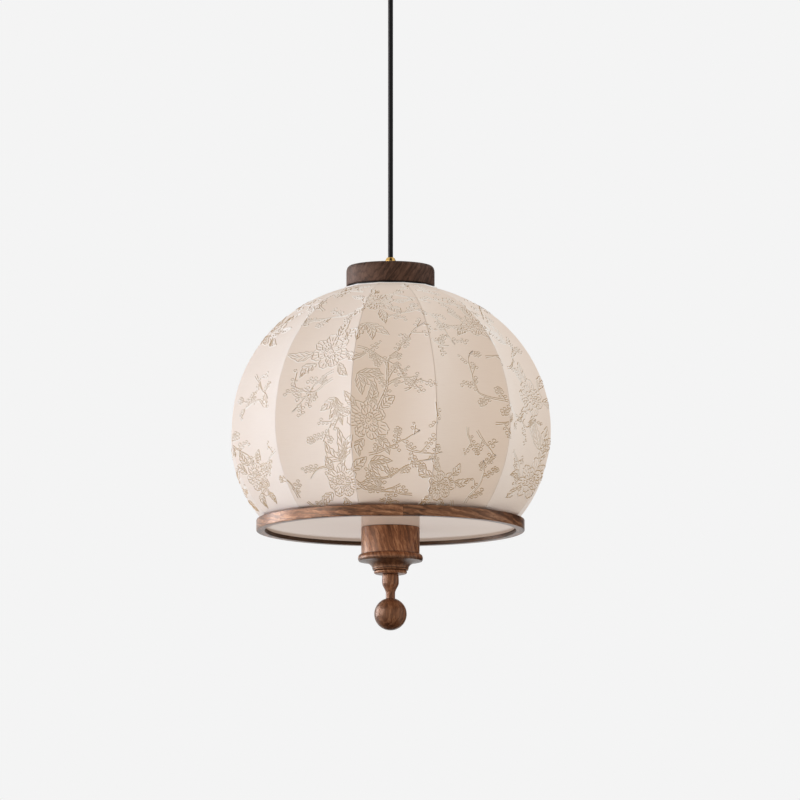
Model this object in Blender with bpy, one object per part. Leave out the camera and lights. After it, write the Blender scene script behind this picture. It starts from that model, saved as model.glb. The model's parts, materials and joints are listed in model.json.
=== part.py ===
"""Pendant lamp: a gored fabric globe on a wire frame, with a turned walnut cap, ring and finial.

The origin is on the ceiling, at the centre of the bracket's top face, and the lamp hangs down
along -Z. Azimuths are measured from the front (-Y) towards +X.
"""

import math

import bmesh
import bpy
from mathutils import Matrix, Vector

MM = 0.001
GAP = 0.3 * MM  # clearance between pieces that touch
SHARP = math.radians(35)  # edges that turn more than this stay crisp
MERGE = 0.001 * MM  # points closer than this are one
ARRIS = 0.6 * MM  # small chamfer on turned and cut edges

# Sides of the round pieces
RING_SIDES = 48
CAP_SIDES = 32
COLUMN_SIDES = 28
FINIAL_SIDES = 24
HOOP_SIDES = 24
SMALL_SIDES = 16
HOLE_SIDES = 12
WIRE_SIDES = 6

# Ceiling canopy and its bracket
CANOPY_RADIUS = 55.25 * MM
CANOPY_HEIGHT = 28 * MM
CANOPY_EDGE = 4 * MM
CANOPY_WALL = 6 * MM
CANOPY_RIM_DROP = 0.5 * MM  # the rim stays this far below the ceiling
BRACKET_LENGTH = 90 * MM
BRACKET_WIDTH = 22 * MM
BRACKET_SHEET = 2 * MM
BRACKET_TAB = 18 * MM
SLOT_LENGTH = 16 * MM
SLOT_WIDTH = 5 * MM
SLOT_OFFSET = 28 * MM
SIDE_SCREW_DROP = 11 * MM
SIDE_SCREW_RADIUS = 2 * MM
SIDE_SCREW_HEAD = 4.2 * MM
SIDE_SCREW_RISE = 3 * MM  # height of its head
SIDE_SCREW_EDGE = 1 * MM
BLOCK_SIZE = Vector((30, 18, 14)) * MM

# Cord, its grips and the threaded stem
CORD_RADIUS = 3.15 * MM
CORD_FREE = 340 * MM  # between the two brass grips
CORD_POINTS = 18
CORD_CLEARANCE = 0.35 * MM
GRIP_HEIGHT = 12 * MM
GRIP_EDGE = 1 * MM
FLANGE_RADIUS = 9.2 * MM  # ceiling grip
MOUTH_RADIUS = 7.4 * MM  # its bell mouth, at the lower face
MOUTH_WAIST = 5.5 * MM
MOUTH_DEPTH = 5 * MM  # from the lower face up to the waist
DOME_FOOT = 7 * MM  # lamp grip
DOME_CROWN = 4.7 * MM
DOME_HEIGHT = 5 * MM
STEM_RISE = 6.5 * MM  # how far the stem stands above the cap
FLEX_DEPTH = 3 * MM  # first bending point, below the canopy
FLEX_LENGTH = 8 * MM  # from there to the second bending point
STEM_RADIUS = 5 * MM
STEM_BORE = 3.4 * MM
STEM_CLEARANCE = 0.4 * MM
NUT_RADIUS = 9.8 * MM
NUT_HEIGHT = 8 * MM
FLAT_NUT_HEIGHT = 4 * MM
LEADS_RADIUS = 2.6 * MM
LEADS_DROP = 2 * MM  # where they start inside the stem
THREAD_LENGTH = 12 * MM  # of the stem inside the finial

# Walnut cap
CAP_RADIUS = 55.25 * MM
CAP_HEIGHT = 25 * MM
CAP_WEB = 10 * MM
CAP_WALL = 10 * MM
CAP_EDGE = 7 * MM
CAP_TOP = -(CANOPY_HEIGHT + CORD_FREE + 2 * GRIP_HEIGHT)
CAP_BOTTOM = CAP_TOP - CAP_HEIGHT

# Shade: every rib follows two quarter ellipses that meet at the widest level
GORES = 12
RIB_RADIUS = 206 * MM
SHADE_MIDDLE = CAP_TOP - 212.7 * MM
RISE_ABOVE = 191.5 * MM
RISE_BELOW = 171.6 * MM
SHADE_TOP = CAP_BOTTOM - 1.6 * MM
GORE_SAG = 7 * MM  # how far a panel draws in behind the chord between its ribs
GORE_ROWS = 10
GORE_COLUMNS = 4
FABRIC = 1 * MM
SEAM_GAP = 0.4 * MM
WIRE_RADIUS = 1.5 * MM
RIB_DEPTH = 3.3 * MM  # from the ridge of the fabric to the rib's centre
EDGE_SAG = 0.04  # share of the sag that is left along the cap and the ring

# Spider that carries the wire frame on the stem
SPIDER_ARMS = 3
SPIDER_LEVEL = 0.03  # place of its hoop along the ribs, from the cap to the ring
HUB_RADIUS = 14 * MM
HUB_SHEET = 3 * MM
ARM_RADIUS = 1.4 * MM

# Walnut ring and diffuser
RING_RADIUS = 167.5 * MM
RING_BORE = 157 * MM
LIP_BORE = 143.5 * MM
LIP_HEIGHT = 5.2 * MM
RING_HEIGHT = 13.9 * MM
RING_TOP = CAP_TOP - 319.5 * MM
RING_UPPER_EDGE = 1.2 * MM
RING_LOWER_EDGE = 1 * MM
RING_INNER_EDGE = 0.8 * MM
HOOP_RADIUS = 152 * MM  # lower wire hoop of the frame
CLIPS = 3
CLIP_SHEET = 1 * MM
CLIP_WIDTH = 10 * MM
CLIP_HOOK = 1 * MM  # how far its hook reaches past the middle of the hoop
CLIP_SETBACK = 0.8 * MM
DIFFUSER_RADIUS = 155.8 * MM
DIFFUSER_THICKNESS = 4 * MM

# Turned column and finial
COLUMN_RADIUS = 36.5 * MM
COLUMN_LENGTH = 33.4 * MM
BEAD_RADIUS = 40.6 * MM
BEAD_HEIGHT = 10.4 * MM
COVE_WIDE = 40 * MM
COVE_NARROW = 22.6 * MM
COVE_DROP = 51.6 * MM
COVE_RISE = 7.9 * MM
SMALL_BEADS = ((21.3 * MM, 52.7 * MM, 1.1 * MM), (18.5 * MM, 56 * MM, 2.2 * MM))  # middle, drop, rounding
FOOT_WIDE = 18.4 * MM
FOOT_NARROW = 17.8 * MM
FOOT_EDGE = 0.3 * MM
BASE_LENGTH = 58.5 * MM
NECK_RADIUS = 10 * MM
NECK_WAIST = 5.8 * MM
NECK_LENGTH = 29.4 * MM
BARREL_SWELL = 0.5 * MM
BARREL_LENGTH = 15.8 * MM
WAIST_START = 11.1 * MM
WAIST_EASE = 12.5 * MM
NECK_STEPS = 9
BALL_STEPS = 11
BALL_RADIUS = 20.3 * MM
INSERT_RADIUS = 6.6 * MM
INSERT_LENGTH = 13 * MM

# Lamp cluster on the stem
LAMPS = 3
CLUSTER_LEVEL = SHADE_MIDDLE + 45 * MM
CLUSTER_RADIUS = 30 * MM
CLUSTER_HEIGHT = 44 * MM
CLUSTER_EDGE = 4 * MM
CLUSTER_TAPER = 12 * MM
CLUSTER_FOOT = 15 * MM
LAMP_TILT = math.radians(25)
FACET_DISTANCE = 25 * MM
HOLDER_RADIUS = 20 * MM
HOLDER_LENGTH = 50 * MM
HOLDER_FOOT = 14 * MM
HOLDER_SHOULDER = 8 * MM
SKIRT_STEP = 1.5 * MM
SKIRT_LENGTH = 14 * MM
SOCKET_RADIUS = 14 * MM
SOCKET_DEPTH = 27 * MM
BULB_CAP_RADIUS = 13 * MM
BULB_RADIUS = 30 * MM
BULB_LENGTH = 104 * MM
BULB_TIP = 5 * MM
BULB_SHOULDER = -50  # degrees below the globe's middle where its neck begins
BULB_CLEARANCE = 1 * MM

# Name: colour, roughness, metallic
FINISHES = {
    "walnut": ((0.20, 0.092, 0.048, 1), 0.45, 0.0),
    "dark_walnut": ((0.075, 0.040, 0.026, 1), 0.5, 0.0),
    "fabric": ((0.72, 0.61, 0.50, 1), 0.9, 0.0),
    "brass": ((0.80, 0.55, 0.22, 1), 0.2, 1.0),
    "steel": ((0.55, 0.55, 0.56, 1), 0.35, 1.0),
    "acrylic": ((0.85, 0.82, 0.80, 1), 0.12, 0.0),
    "cord_jacket": ((0.012, 0.011, 0.011, 1), 0.5, 0.0),
    "white_plastic": ((0.80, 0.80, 0.78, 1), 0.35, 0.0),
    "bulb_plastic": ((0.90, 0.89, 0.86, 1), 0.3, 0.0),
}


def material(name):
    """The named finish, made once."""
    found = bpy.data.materials.get(name)
    if found:
        return found
    colour, roughness, metallic = FINISHES[name]
    made = bpy.data.materials.new(name)
    made.use_nodes = True
    made.diffuse_color = colour
    shader = made.node_tree.nodes["Principled BSDF"]
    shader.inputs["Base Color"].default_value = colour
    shader.inputs["Roughness"].default_value = roughness
    shader.inputs["Metallic"].default_value = metallic
    return made


def pivot(name, location, parent=None):
    """An empty on a joint's axis, at a world location."""
    empty = bpy.data.objects.new(name, None)
    bpy.context.collection.objects.link(empty)
    empty.parent = parent
    empty.location = Vector(location) - world_location(parent)
    return empty


def world_location(empty):
    """The place of a pivot, whose parents are only shifted."""
    place = Vector()
    while empty:
        place += empty.location
        empty = empty.parent
    return place


def attach(obj, finish, parent):
    """Give an object its finish, and hang it on its pivot where it was modelled."""
    obj.data.materials.append(material(finish))
    obj.parent = parent
    obj.matrix_parent_inverse = Matrix.Translation(-world_location(parent))
    return obj


def mesh_object(name, bm, finish, parent):
    """Turn a closed bmesh into a named object with its faces pointing out."""
    bmesh.ops.recalc_face_normals(bm, faces=bm.faces)
    mesh = bpy.data.meshes.new(name)
    bm.to_mesh(mesh)
    bm.free()
    mesh.shade_smooth()
    mesh.set_sharp_from_angle(angle=SHARP)
    obj = bpy.data.objects.new(name, mesh)
    bpy.context.collection.objects.link(obj)
    return attach(obj, finish, parent)


def turned(name, outline, steps, finish, parent):
    """Turn an outline of (radius, height) points round Z: a closed loop, or open from axis to axis."""
    bm = bmesh.new()
    verts = [bm.verts.new((radius, 0, height)) for radius, height in outline]
    edges = [bm.edges.new(pair) for pair in zip(verts, verts[1:])]
    if outline[0][0] > 0:
        edges.append(bm.edges.new((verts[-1], verts[0])))
    bmesh.ops.spin(bm, geom=verts + edges, axis=(0, 0, 1), cent=(0, 0, 0),
                   angle=2 * math.pi, steps=steps, use_merge=True)
    bmesh.ops.remove_doubles(bm, verts=bm.verts, dist=MERGE)
    bmesh.ops.dissolve_degenerate(bm, edges=bm.edges, dist=MERGE)
    return mesh_object(name, bm, finish, parent)


def arc(centre, radii, start, end, steps):
    """Points on an ellipse's arc, from one angle in degrees to another, ends included."""
    angles = [math.radians(start + (end - start) * i / steps) for i in range(steps + 1)]
    return [(centre[0] + radii[0] * math.cos(a), centre[1] + radii[1] * math.sin(a)) for a in angles]


def tube(name, points, radius, finish, parent, resolution=1, swell=None):
    """A round wire or cord along points, with filled ends; swell scales the radius at each point."""
    curve = bpy.data.curves.new(name, "CURVE")
    curve.dimensions = "3D"
    curve.bevel_depth = radius
    curve.bevel_resolution = resolution
    curve.use_fill_caps = True
    spline = curve.splines.new("POLY")
    spline.points.add(len(points) - 1)
    for i, place in enumerate(points):
        spline.points[i].co = (*place, 1)
        spline.points[i].radius = swell[i] if swell else 1
    obj = bpy.data.objects.new(name, curve)
    bpy.context.collection.objects.link(obj)
    return attach(obj, finish, parent)


def cutter(name, bm):
    """A hidden body that a Boolean uses."""
    bmesh.ops.recalc_face_normals(bm, faces=bm.faces)
    mesh = bpy.data.meshes.new(name)
    bm.to_mesh(mesh)
    bm.free()
    obj = bpy.data.objects.new(name, mesh)
    bpy.context.collection.objects.link(obj)
    obj.hide_render = True
    obj.display_type = "WIRE"
    return obj


def boolean(obj, other, operation):
    """Cut, join or intersect with another body, which stays hidden."""
    modifier = obj.modifiers.new(operation.title(), "BOOLEAN")
    modifier.operation = operation
    modifier.object = other


def block(size, centre, turn=Matrix()):
    """A bmesh box of a size, turned and then moved to its centre."""
    bm = bmesh.new()
    place = Matrix.Translation(centre) @ turn @ Matrix.Diagonal((*size, 1))
    bmesh.ops.create_cube(bm, size=1, matrix=place)
    return bm


def extruded(outline, run):
    """A bmesh prism: a flat outline of points, swept along a run."""
    bm = bmesh.new()
    body = bmesh.ops.extrude_face_region(bm, geom=[bm.faces.new([bm.verts.new(p) for p in outline])])
    moved = [item for item in body["geom"] if isinstance(item, bmesh.types.BMVert)]
    bmesh.ops.translate(bm, verts=moved, vec=run)
    return bm


def rod(radius, start, end, sides):
    """A bmesh cylinder between two points."""
    bm = bmesh.new()
    run = Vector(end) - Vector(start)
    turn = run.to_track_quat("Z", "Y").to_matrix().to_4x4()
    place = Matrix.Translation((Vector(start) + Vector(end)) / 2) @ turn
    bmesh.ops.create_cone(bm, segments=sides, radius1=radius, radius2=radius, depth=run.length,
                          cap_ends=True, matrix=place)
    return bm


def around(radius, azimuth, height):
    """The point at a radius and an azimuth from the front."""
    return Vector((radius * math.sin(azimuth), -radius * math.cos(azimuth), height))


def rib_azimuth(index):
    """Ribs straddle the front, half a gore to each side."""
    return 2 * math.pi / GORES * (index + 0.5)


def rib_point(v, depth):
    """Radius and height on a rib's meridian, from the cap (v=0) to the ring (v=1), depth below it."""
    top = math.asin((SHADE_TOP - SHADE_MIDDLE) / RISE_ABOVE)
    bottom = math.asin((RING_TOP + GAP - SHADE_MIDDLE) / RISE_BELOW)
    angle = top + (bottom - top) * v
    rise = RISE_ABOVE if angle > 0 else RISE_BELOW
    normal = Vector((math.cos(angle) / RIB_RADIUS, math.sin(angle) / rise)).normalized()
    radius = RIB_RADIUS * math.cos(angle) - depth * normal.x
    height = SHADE_MIDDLE + rise * math.sin(angle) - depth * normal.y
    return radius, height


def gore_point(index, u, v, depth):
    """A point of a gore: u runs from -1 to 1 between its ribs, v down its length."""
    radius, height = rib_point(v, depth)
    lowest = RING_TOP + GAP
    height = max(height, lowest)
    half = math.pi / GORES - SEAM_GAP / 2 / radius
    sag = GORE_SAG * radius / RIB_RADIUS * math.sqrt(math.sin(math.pi * v) + EDGE_SAG)
    out = radius * math.cos(half) - sag * (1 - u * u)
    across = radius * math.sin(half) * u
    azimuth = 2 * math.pi / GORES * index
    return Vector((out * math.sin(azimuth) + across * math.cos(azimuth),
                   across * math.sin(azimuth) - out * math.cos(azimuth), height))


def gore(index, parent):
    """One sewn panel: an outer and an inner skin joined at the edges."""
    across, along = GORE_COLUMNS, GORE_ROWS
    bm = bmesh.new()
    skins = []
    for depth in (0, FABRIC):
        skins.append([[bm.verts.new(gore_point(index, 2 * i / across - 1, j / along, depth))
                       for i in range(across + 1)] for j in range(along + 1)])
    for skin in skins:
        for j in range(along):
            for i in range(across):
                bm.faces.new((skin[j][i], skin[j][i + 1], skin[j + 1][i + 1], skin[j + 1][i]))
    outer, inner = skins
    for j in range(along):
        for i in (0, across):
            bm.faces.new((outer[j][i], outer[j + 1][i], inner[j + 1][i], inner[j][i]))
    for i in range(across):
        for j in (0, along):
            bm.faces.new((outer[j][i], outer[j][i + 1], inner[j][i + 1], inner[j][i]))
    bmesh.ops.triangulate(bm, faces=bm.faces)
    return mesh_object(f"shade_panel_{index + 1:02d}", bm, "fabric", parent)


def rib(index, parent):
    """A wire rib under the seam, whose foot turns in to stand on the lower hoop."""
    route = [Vector(rib_point(j / GORE_ROWS, RIB_DEPTH)) for j in range(GORE_ROWS)]
    start = route[-1]
    knee = start.lerp(Vector(rib_point(1, RIB_DEPTH)), 0.7)
    foot = Vector((HOOP_RADIUS, RING_TOP + 3 * WIRE_RADIUS + 2 * GAP))
    for t in (0.25, 0.5, 0.75, 1.0):
        route.append(start.lerp(knee, t).lerp(knee.lerp(foot, t), t))
    points = [around(radius, rib_azimuth(index), height) for radius, height in route]
    return tube(f"frame_rib_{index + 1:02d}", points, WIRE_RADIUS, "steel", parent)


def wire_ring(radius, height):
    """A bmesh ring of the frame's wire."""
    bm = bmesh.new()
    last = 360 - 360 / WIRE_SIDES
    section = arc((radius, height), (WIRE_RADIUS,) * 2, 0, last, WIRE_SIDES - 1)
    verts = [bm.verts.new((r, 0, z)) for r, z in section]
    edges = [bm.edges.new(pair) for pair in zip(verts, verts[1:] + verts[:1])]
    bmesh.ops.spin(bm, geom=verts + edges, axis=(0, 0, 1), cent=(0, 0, 0),
                   angle=2 * math.pi, steps=HOOP_SIDES, use_merge=True)
    bmesh.ops.remove_doubles(bm, verts=bm.verts, dist=MERGE)
    return bm


def nut(name, top, parent, height=NUT_HEIGHT):
    """A hexagon nut on the stem."""
    bore = STEM_RADIUS + STEM_CLEARANCE
    outline = [(bore, top), (NUT_RADIUS, top), (NUT_RADIUS, top - height), (bore, top - height)]
    obj = turned(name, outline, 6, "steel", parent)
    above, below = (0, 0, top + GAP), (0, 0, top - height - GAP)
    boolean(obj, cutter(name + "_bore", rod(bore, above, below, HOLE_SIDES)), "DIFFERENCE")
    return obj


def bracket_and_screws():
    """The bent steel strap on the ceiling, and the two screws that hold the canopy on its tabs."""
    half = BRACKET_LENGTH / 2
    inner = half - BRACKET_SHEET
    outline = [(-half, -BRACKET_TAB), (-inner, -BRACKET_TAB), (-inner, -BRACKET_SHEET),
               (inner, -BRACKET_SHEET), (inner, -BRACKET_TAB), (half, -BRACKET_TAB), (half, 0), (-half, 0)]
    strap = extruded([(x, -BRACKET_WIDTH / 2, z) for x, z in outline], (0, BRACKET_WIDTH, 0))
    bracket = mesh_object("ceiling_bracket", strap, "steel", None)
    straight = (SLOT_LENGTH - SLOT_WIDTH) / 2
    ends = arc((straight, 0), (SLOT_WIDTH / 2,) * 2, -90, 90, 6)
    ends += arc((-straight, 0), (SLOT_WIDTH / 2,) * 2, 90, 270, 6)
    for number, middle in enumerate((-SLOT_OFFSET, SLOT_OFFSET)):
        outline = [(middle + x, y, -2 * BRACKET_SHEET) for x, y in ends]
        slot = extruded(outline, (0, 0, 3 * BRACKET_SHEET))
        boolean(bracket, cutter(f"bracket_slot_{number}", slot), "DIFFERENCE")
    boolean(bracket, side_screw_holes("bracket_holes"), "DIFFERENCE")

    for number, side in ((1, -1), (2, 1)):
        seat = CANOPY_RADIUS + GAP
        crown = seat + SIDE_SCREW_RISE
        tip = half - 3 * BRACKET_SHEET
        outline = [(0, tip), (SIDE_SCREW_RADIUS, tip), (SIDE_SCREW_RADIUS, seat), (SIDE_SCREW_HEAD, seat),
                   (SIDE_SCREW_HEAD, crown - SIDE_SCREW_EDGE), (SIDE_SCREW_HEAD - SIDE_SCREW_EDGE, crown),
                   (0, crown)]
        screw = turned(f"canopy_screw_{number}", outline, HOLE_SIDES, "brass", None)
        screw.location.z = -SIDE_SCREW_DROP
        screw.rotation_euler.y = side * math.pi / 2


def side_screw_holes(name):
    """A hidden rod along both side screws, which cuts their holes."""
    reach = 2 * CANOPY_RADIUS
    ends = [(side * reach, 0, -SIDE_SCREW_DROP) for side in (-1, 1)]
    return cutter(name, rod(SIDE_SCREW_RADIUS + STEM_CLEARANCE, *ends, HOLE_SIDES))


def canopy_and_grip():
    """Canopy, terminal block, flat nut, and the brass grip with the end of the cord held in it."""
    bottom = -CANOPY_HEIGHT
    floor = bottom + CANOPY_WALL
    inside = CANOPY_RADIUS - CANOPY_WALL
    edge = CANOPY_EDGE
    bore = STEM_RADIUS + STEM_CLEARANCE
    outline = [(inside, -CANOPY_RIM_DROP), (CANOPY_RADIUS, -CANOPY_RIM_DROP)]
    outline += arc((CANOPY_RADIUS - edge, bottom + edge), (edge, edge), 0, -90, 4)
    outline += [(bore, bottom), (bore, floor), (inside, floor)]
    canopy = turned("ceiling_canopy", outline, CAP_SIDES, "dark_walnut", None)
    boolean(canopy, side_screw_holes("canopy_holes"), "DIFFERENCE")

    centre = (0, 0, -BRACKET_SHEET - GAP - BLOCK_SIZE.z / 2)
    mesh_object("terminal_block", block(BLOCK_SIZE, centre), "white_plastic", None)
    block_floor = -BRACKET_SHEET - GAP - BLOCK_SIZE.z
    nut("canopy_nut", floor + FLAT_NUT_HEIGHT + GAP, None, height=FLAT_NUT_HEIGHT)

    cord_hole = CORD_RADIUS + CORD_CLEARANCE
    mouth = bottom - GRIP_HEIGHT
    shank_top = block_floor - 2 * GAP
    flange_top = bottom - GAP
    outline = [(cord_hole, shank_top), (STEM_RADIUS, shank_top), (STEM_RADIUS, flange_top),
               (FLANGE_RADIUS - GRIP_EDGE, flange_top), (FLANGE_RADIUS, flange_top - GRIP_EDGE),
               (FLANGE_RADIUS, mouth + GRIP_EDGE), (FLANGE_RADIUS - GRIP_EDGE, mouth),
               (MOUTH_RADIUS, mouth), (MOUTH_WAIST, mouth + MOUTH_DEPTH),
               (cord_hole + GAP, bottom - FLEX_DEPTH + GAP), (cord_hole, bottom - GRIP_EDGE)]
    turned("ceiling_grip", outline, SMALL_SIDES, "brass", None)
    flex_top = bottom - FLEX_DEPTH + CORD_RADIUS + CORD_CLEARANCE
    route = [(0, 0, block_floor - GAP), (0, 0, flex_top)]
    tube("cord_anchor", route, CORD_RADIUS, "cord_jacket", None, 2)


def domed_cord(name, points, parent):
    """A cord whose first end is a dome round the first point."""
    first = Vector(points[0])
    angles = [math.radians(degrees) for degrees in (80, 60, 40, 20)]
    route = [first + Vector((0, 0, CORD_RADIUS * math.sin(angle))) for angle in angles]
    swell = [math.cos(angle) for angle in angles] + [1] * len(points)
    return tube(name, route + list(points), CORD_RADIUS, "cord_jacket", parent, 2, swell)


def cord_parts(flex, lamp):
    """The short stretch that bends in the ceiling grip, and the cord down to the lamp."""
    top = world_location(flex).z
    middle = world_location(lamp).z
    domed_cord("cord_flex", [(0, 0, top), (0, 0, middle + CORD_RADIUS + CORD_CLEARANCE)], flex)
    end = CAP_TOP + STEM_RISE + 2 * GAP
    points = [(0, 0, middle + (end - middle) * i / CORD_POINTS) for i in range(CORD_POINTS + 1)]
    domed_cord("cord", points, lamp)


def top_fitting(lamp):
    """Grip, cap, stem, leads, nuts and the spider that carries the wire frame."""
    bore = STEM_RADIUS + STEM_CLEARANCE
    cord_hole = CORD_RADIUS + CORD_CLEARANCE
    stem_top = CAP_TOP + STEM_RISE
    socket_top = stem_top + GAP
    grip_top = CAP_TOP + GRIP_HEIGHT
    outline = [(bore, CAP_TOP + GAP), (DOME_FOOT, CAP_TOP + GAP)]
    outline += arc((DOME_CROWN, grip_top - DOME_HEIGHT), (DOME_FOOT - DOME_CROWN, DOME_HEIGHT), 0, 90, 5)
    outline += [(cord_hole, grip_top), (cord_hole, socket_top), (bore, socket_top)]
    turned("lamp_grip", outline, SMALL_SIDES, "brass", lamp)

    web = CAP_TOP - CAP_WEB
    inside = CAP_RADIUS - CAP_WALL
    outline = [(bore, CAP_TOP)]
    outline += arc((CAP_RADIUS - CAP_EDGE, CAP_TOP - CAP_EDGE), (CAP_EDGE, CAP_EDGE), 90, 0, 4)
    outline += [(CAP_RADIUS, CAP_BOTTOM + ARRIS), (CAP_RADIUS - ARRIS, CAP_BOTTOM),
                (inside, CAP_BOTTOM), (inside, web), (bore, web)]
    turned("cap", outline, CAP_SIDES, "dark_walnut", lamp)

    outline = [(STEM_BORE, stem_top), (STEM_RADIUS, stem_top), (STEM_RADIUS, stem_bottom()),
               (STEM_BORE, stem_bottom())]
    turned("stem", outline, SMALL_SIDES, "steel", lamp)
    route = [(0, 0, stem_top - LEADS_DROP), (0, 0, CLUSTER_LEVEL)]
    tube("supply_leads", route, LEADS_RADIUS, "cord_jacket", lamp, 2)
    nut("cap_nut", web - GAP, lamp)
    hub_top = web - 2 * GAP - NUT_HEIGHT
    spider(hub_top, lamp)
    nut("spider_nut", hub_top - HUB_SHEET - GAP, lamp)


def spider(hub_top, lamp):
    """A flat hub on the stem, whose arms carry the upper hoop of the wire frame."""
    bore = STEM_RADIUS + STEM_CLEARANCE
    hub_bottom = hub_top - HUB_SHEET
    radius, height = rib_point(SPIDER_LEVEL, RIB_DEPTH + 2 * WIRE_RADIUS + 2 * GAP)
    hoop = mesh_object("frame_spider", wire_ring(radius, height), "steel", lamp)
    outline = [(bore, hub_top), (HUB_RADIUS, hub_top), (HUB_RADIUS, hub_bottom), (bore, hub_bottom)]
    hub = turned("spider_hub", outline, SMALL_SIDES, "steel", None)
    hub.hide_render = True
    hub.display_type = "WIRE"
    for index in range(SPIDER_ARMS):
        azimuth = 2 * math.pi / SPIDER_ARMS * index
        start = around(HUB_RADIUS - ARM_RADIUS, azimuth, (hub_top + hub_bottom) / 2)
        arm = rod(ARM_RADIUS, start, around(radius, azimuth, height), WIRE_SIDES)
        boolean(hoop, cutter(f"spider_arm_{index}", arm), "UNION")
    boolean(hoop, hub, "UNION")


def stem_bottom():
    """The stem ends inside the finial, one thread length below the base of the column."""
    return column_top() - BASE_LENGTH - GAP - THREAD_LENGTH


def diffuser_top():
    """The diffuser comes up against the ring's inner lip."""
    return RING_TOP - LIP_HEIGHT - GAP


def column_top():
    """The column bears on the diffuser's underside."""
    return diffuser_top() - DIFFUSER_THICKNESS - GAP


def shade(lamp):
    """Ribs, lower hoop, sewn panels, walnut ring and the clips that hold the hoop on it."""
    for index in range(GORES):
        rib(index, lamp)
        gore(index, lamp)
    hoop = wire_ring(HOOP_RADIUS, RING_TOP + GAP + WIRE_RADIUS)
    mesh_object("frame_hoop", hoop, "steel", lamp)

    bottom = RING_TOP - RING_HEIGHT
    upper, lower, inner = RING_UPPER_EDGE, RING_LOWER_EDGE, RING_INNER_EDGE
    lip_floor = RING_TOP - LIP_HEIGHT
    outline = [(LIP_BORE, RING_TOP)]
    outline += arc((RING_RADIUS - upper, RING_TOP - upper), (upper, upper), 90, 0, 2)
    outline += arc((RING_RADIUS - lower, bottom + lower), (lower, lower), 0, -90, 2)
    outline += arc((RING_BORE + inner, bottom + inner), (inner, inner), -90, -180, 1)
    outline += [(RING_BORE, lip_floor), (LIP_BORE, lip_floor)]
    turned("walnut_ring", outline, RING_SIDES, "walnut", lamp)

    for number in range(CLIPS):
        hoop_clip(number, lamp)


def hoop_clip(number, lamp):
    """A bent steel clip: its foot lies on the ring's lip and its hook closes over the hoop."""
    foot = LIP_BORE + CLIP_SETBACK
    inner = HOOP_RADIUS - WIRE_RADIUS - 2.5 * GAP
    back = inner - CLIP_SHEET
    hook = HOOP_RADIUS + CLIP_HOOK
    base = RING_TOP + GAP
    over = base + 2 * WIRE_RADIUS + GAP
    outline = [(foot, base), (inner, base), (inner, over), (hook, over), (hook, over + CLIP_SHEET),
               (back, over + CLIP_SHEET), (back, base + CLIP_SHEET), (foot, base + CLIP_SHEET)]
    bm = extruded([(-CLIP_WIDTH / 2, -radius, height) for radius, height in outline], (CLIP_WIDTH, 0, 0))
    turn = Matrix.Rotation(2 * math.pi / CLIPS * number, 4, "Z")
    bmesh.ops.transform(bm, matrix=turn, verts=bm.verts)
    mesh_object(f"hoop_clip_{number + 1}", bm, "steel", lamp)


def cluster(lamp):
    """The hub on the stem, its lock nut, and three tilted lampholders with their bulbs."""
    top = CLUSTER_LEVEL + CLUSTER_HEIGHT / 2
    bottom = CLUSTER_LEVEL - CLUSTER_HEIGHT / 2
    bore = STEM_RADIUS + STEM_CLEARANCE
    outline = [(bore, top), (CLUSTER_RADIUS - CLUSTER_EDGE, top), (CLUSTER_RADIUS, top - CLUSTER_EDGE),
               (CLUSTER_RADIUS, bottom + CLUSTER_TAPER), (CLUSTER_FOOT, bottom), (bore, bottom)]
    hub = turned("lamp_cluster", outline, FINIAL_SIDES, "white_plastic", lamp)
    nut("cluster_nut", bottom - GAP, lamp)
    for index in range(LAMPS):
        azimuth = 2 * math.pi / LAMPS * (index + 0.5)
        level = around(math.cos(LAMP_TILT), azimuth, 0)
        direction = level - Vector((0, 0, math.sin(LAMP_TILT)))
        turn = direction.to_track_quat("Z", "Y").to_matrix().to_4x4()
        centre = Vector((0, 0, CLUSTER_LEVEL))
        side = 2 * CLUSTER_RADIUS
        waste = block((side, side, side), centre + direction * (FACET_DISTANCE + side / 2), turn)
        boolean(hub, cutter(f"cluster_facet_{index}", waste), "DIFFERENCE")
        lampholder(index, centre, direction, turn, lamp)


def lampholder(index, centre, direction, turn, lamp):
    """A lampholder with its open socket, and a bulb that screws into it, both along their axis."""
    length = HOLDER_LENGTH
    floor = length - SOCKET_DEPTH
    skirt = HOLDER_RADIUS + SKIRT_STEP
    skirt_start = length - SKIRT_LENGTH
    seat = FACET_DISTANCE + GAP
    outline = [(0, 0), (HOLDER_FOOT, 0), (HOLDER_RADIUS, HOLDER_SHOULDER), (HOLDER_RADIUS, skirt_start),
               (skirt, skirt_start), (skirt, length), (SOCKET_RADIUS, length), (SOCKET_RADIUS, floor),
               (0, floor)]
    holder = turned(f"lampholder_{index + 1}", outline, SMALL_SIDES, "white_plastic", lamp)
    holder.matrix_basis = Matrix.Translation(centre + direction * seat) @ turn

    screwed = SOCKET_DEPTH - BULB_CLEARANCE
    globe = (0, BULB_LENGTH - BULB_RADIUS)
    outline = [(0, 0), (BULB_TIP, 0), (BULB_CAP_RADIUS, BULB_TIP), (BULB_CAP_RADIUS, screwed)]
    outline += arc(globe, (BULB_RADIUS,) * 2, BULB_SHOULDER, 90, 7)[:-1] + [(0, BULB_LENGTH)]
    bulb_axis = pivot(f"bulb_{index + 1}_axis", centre, lamp)
    bulb = turned(f"bulb_{index + 1}", outline, HOLE_SIDES, "bulb_plastic", bulb_axis)
    bulb.matrix_basis = Matrix.Translation(centre + direction * (seat + floor + BULB_CLEARANCE)) @ turn


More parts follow.
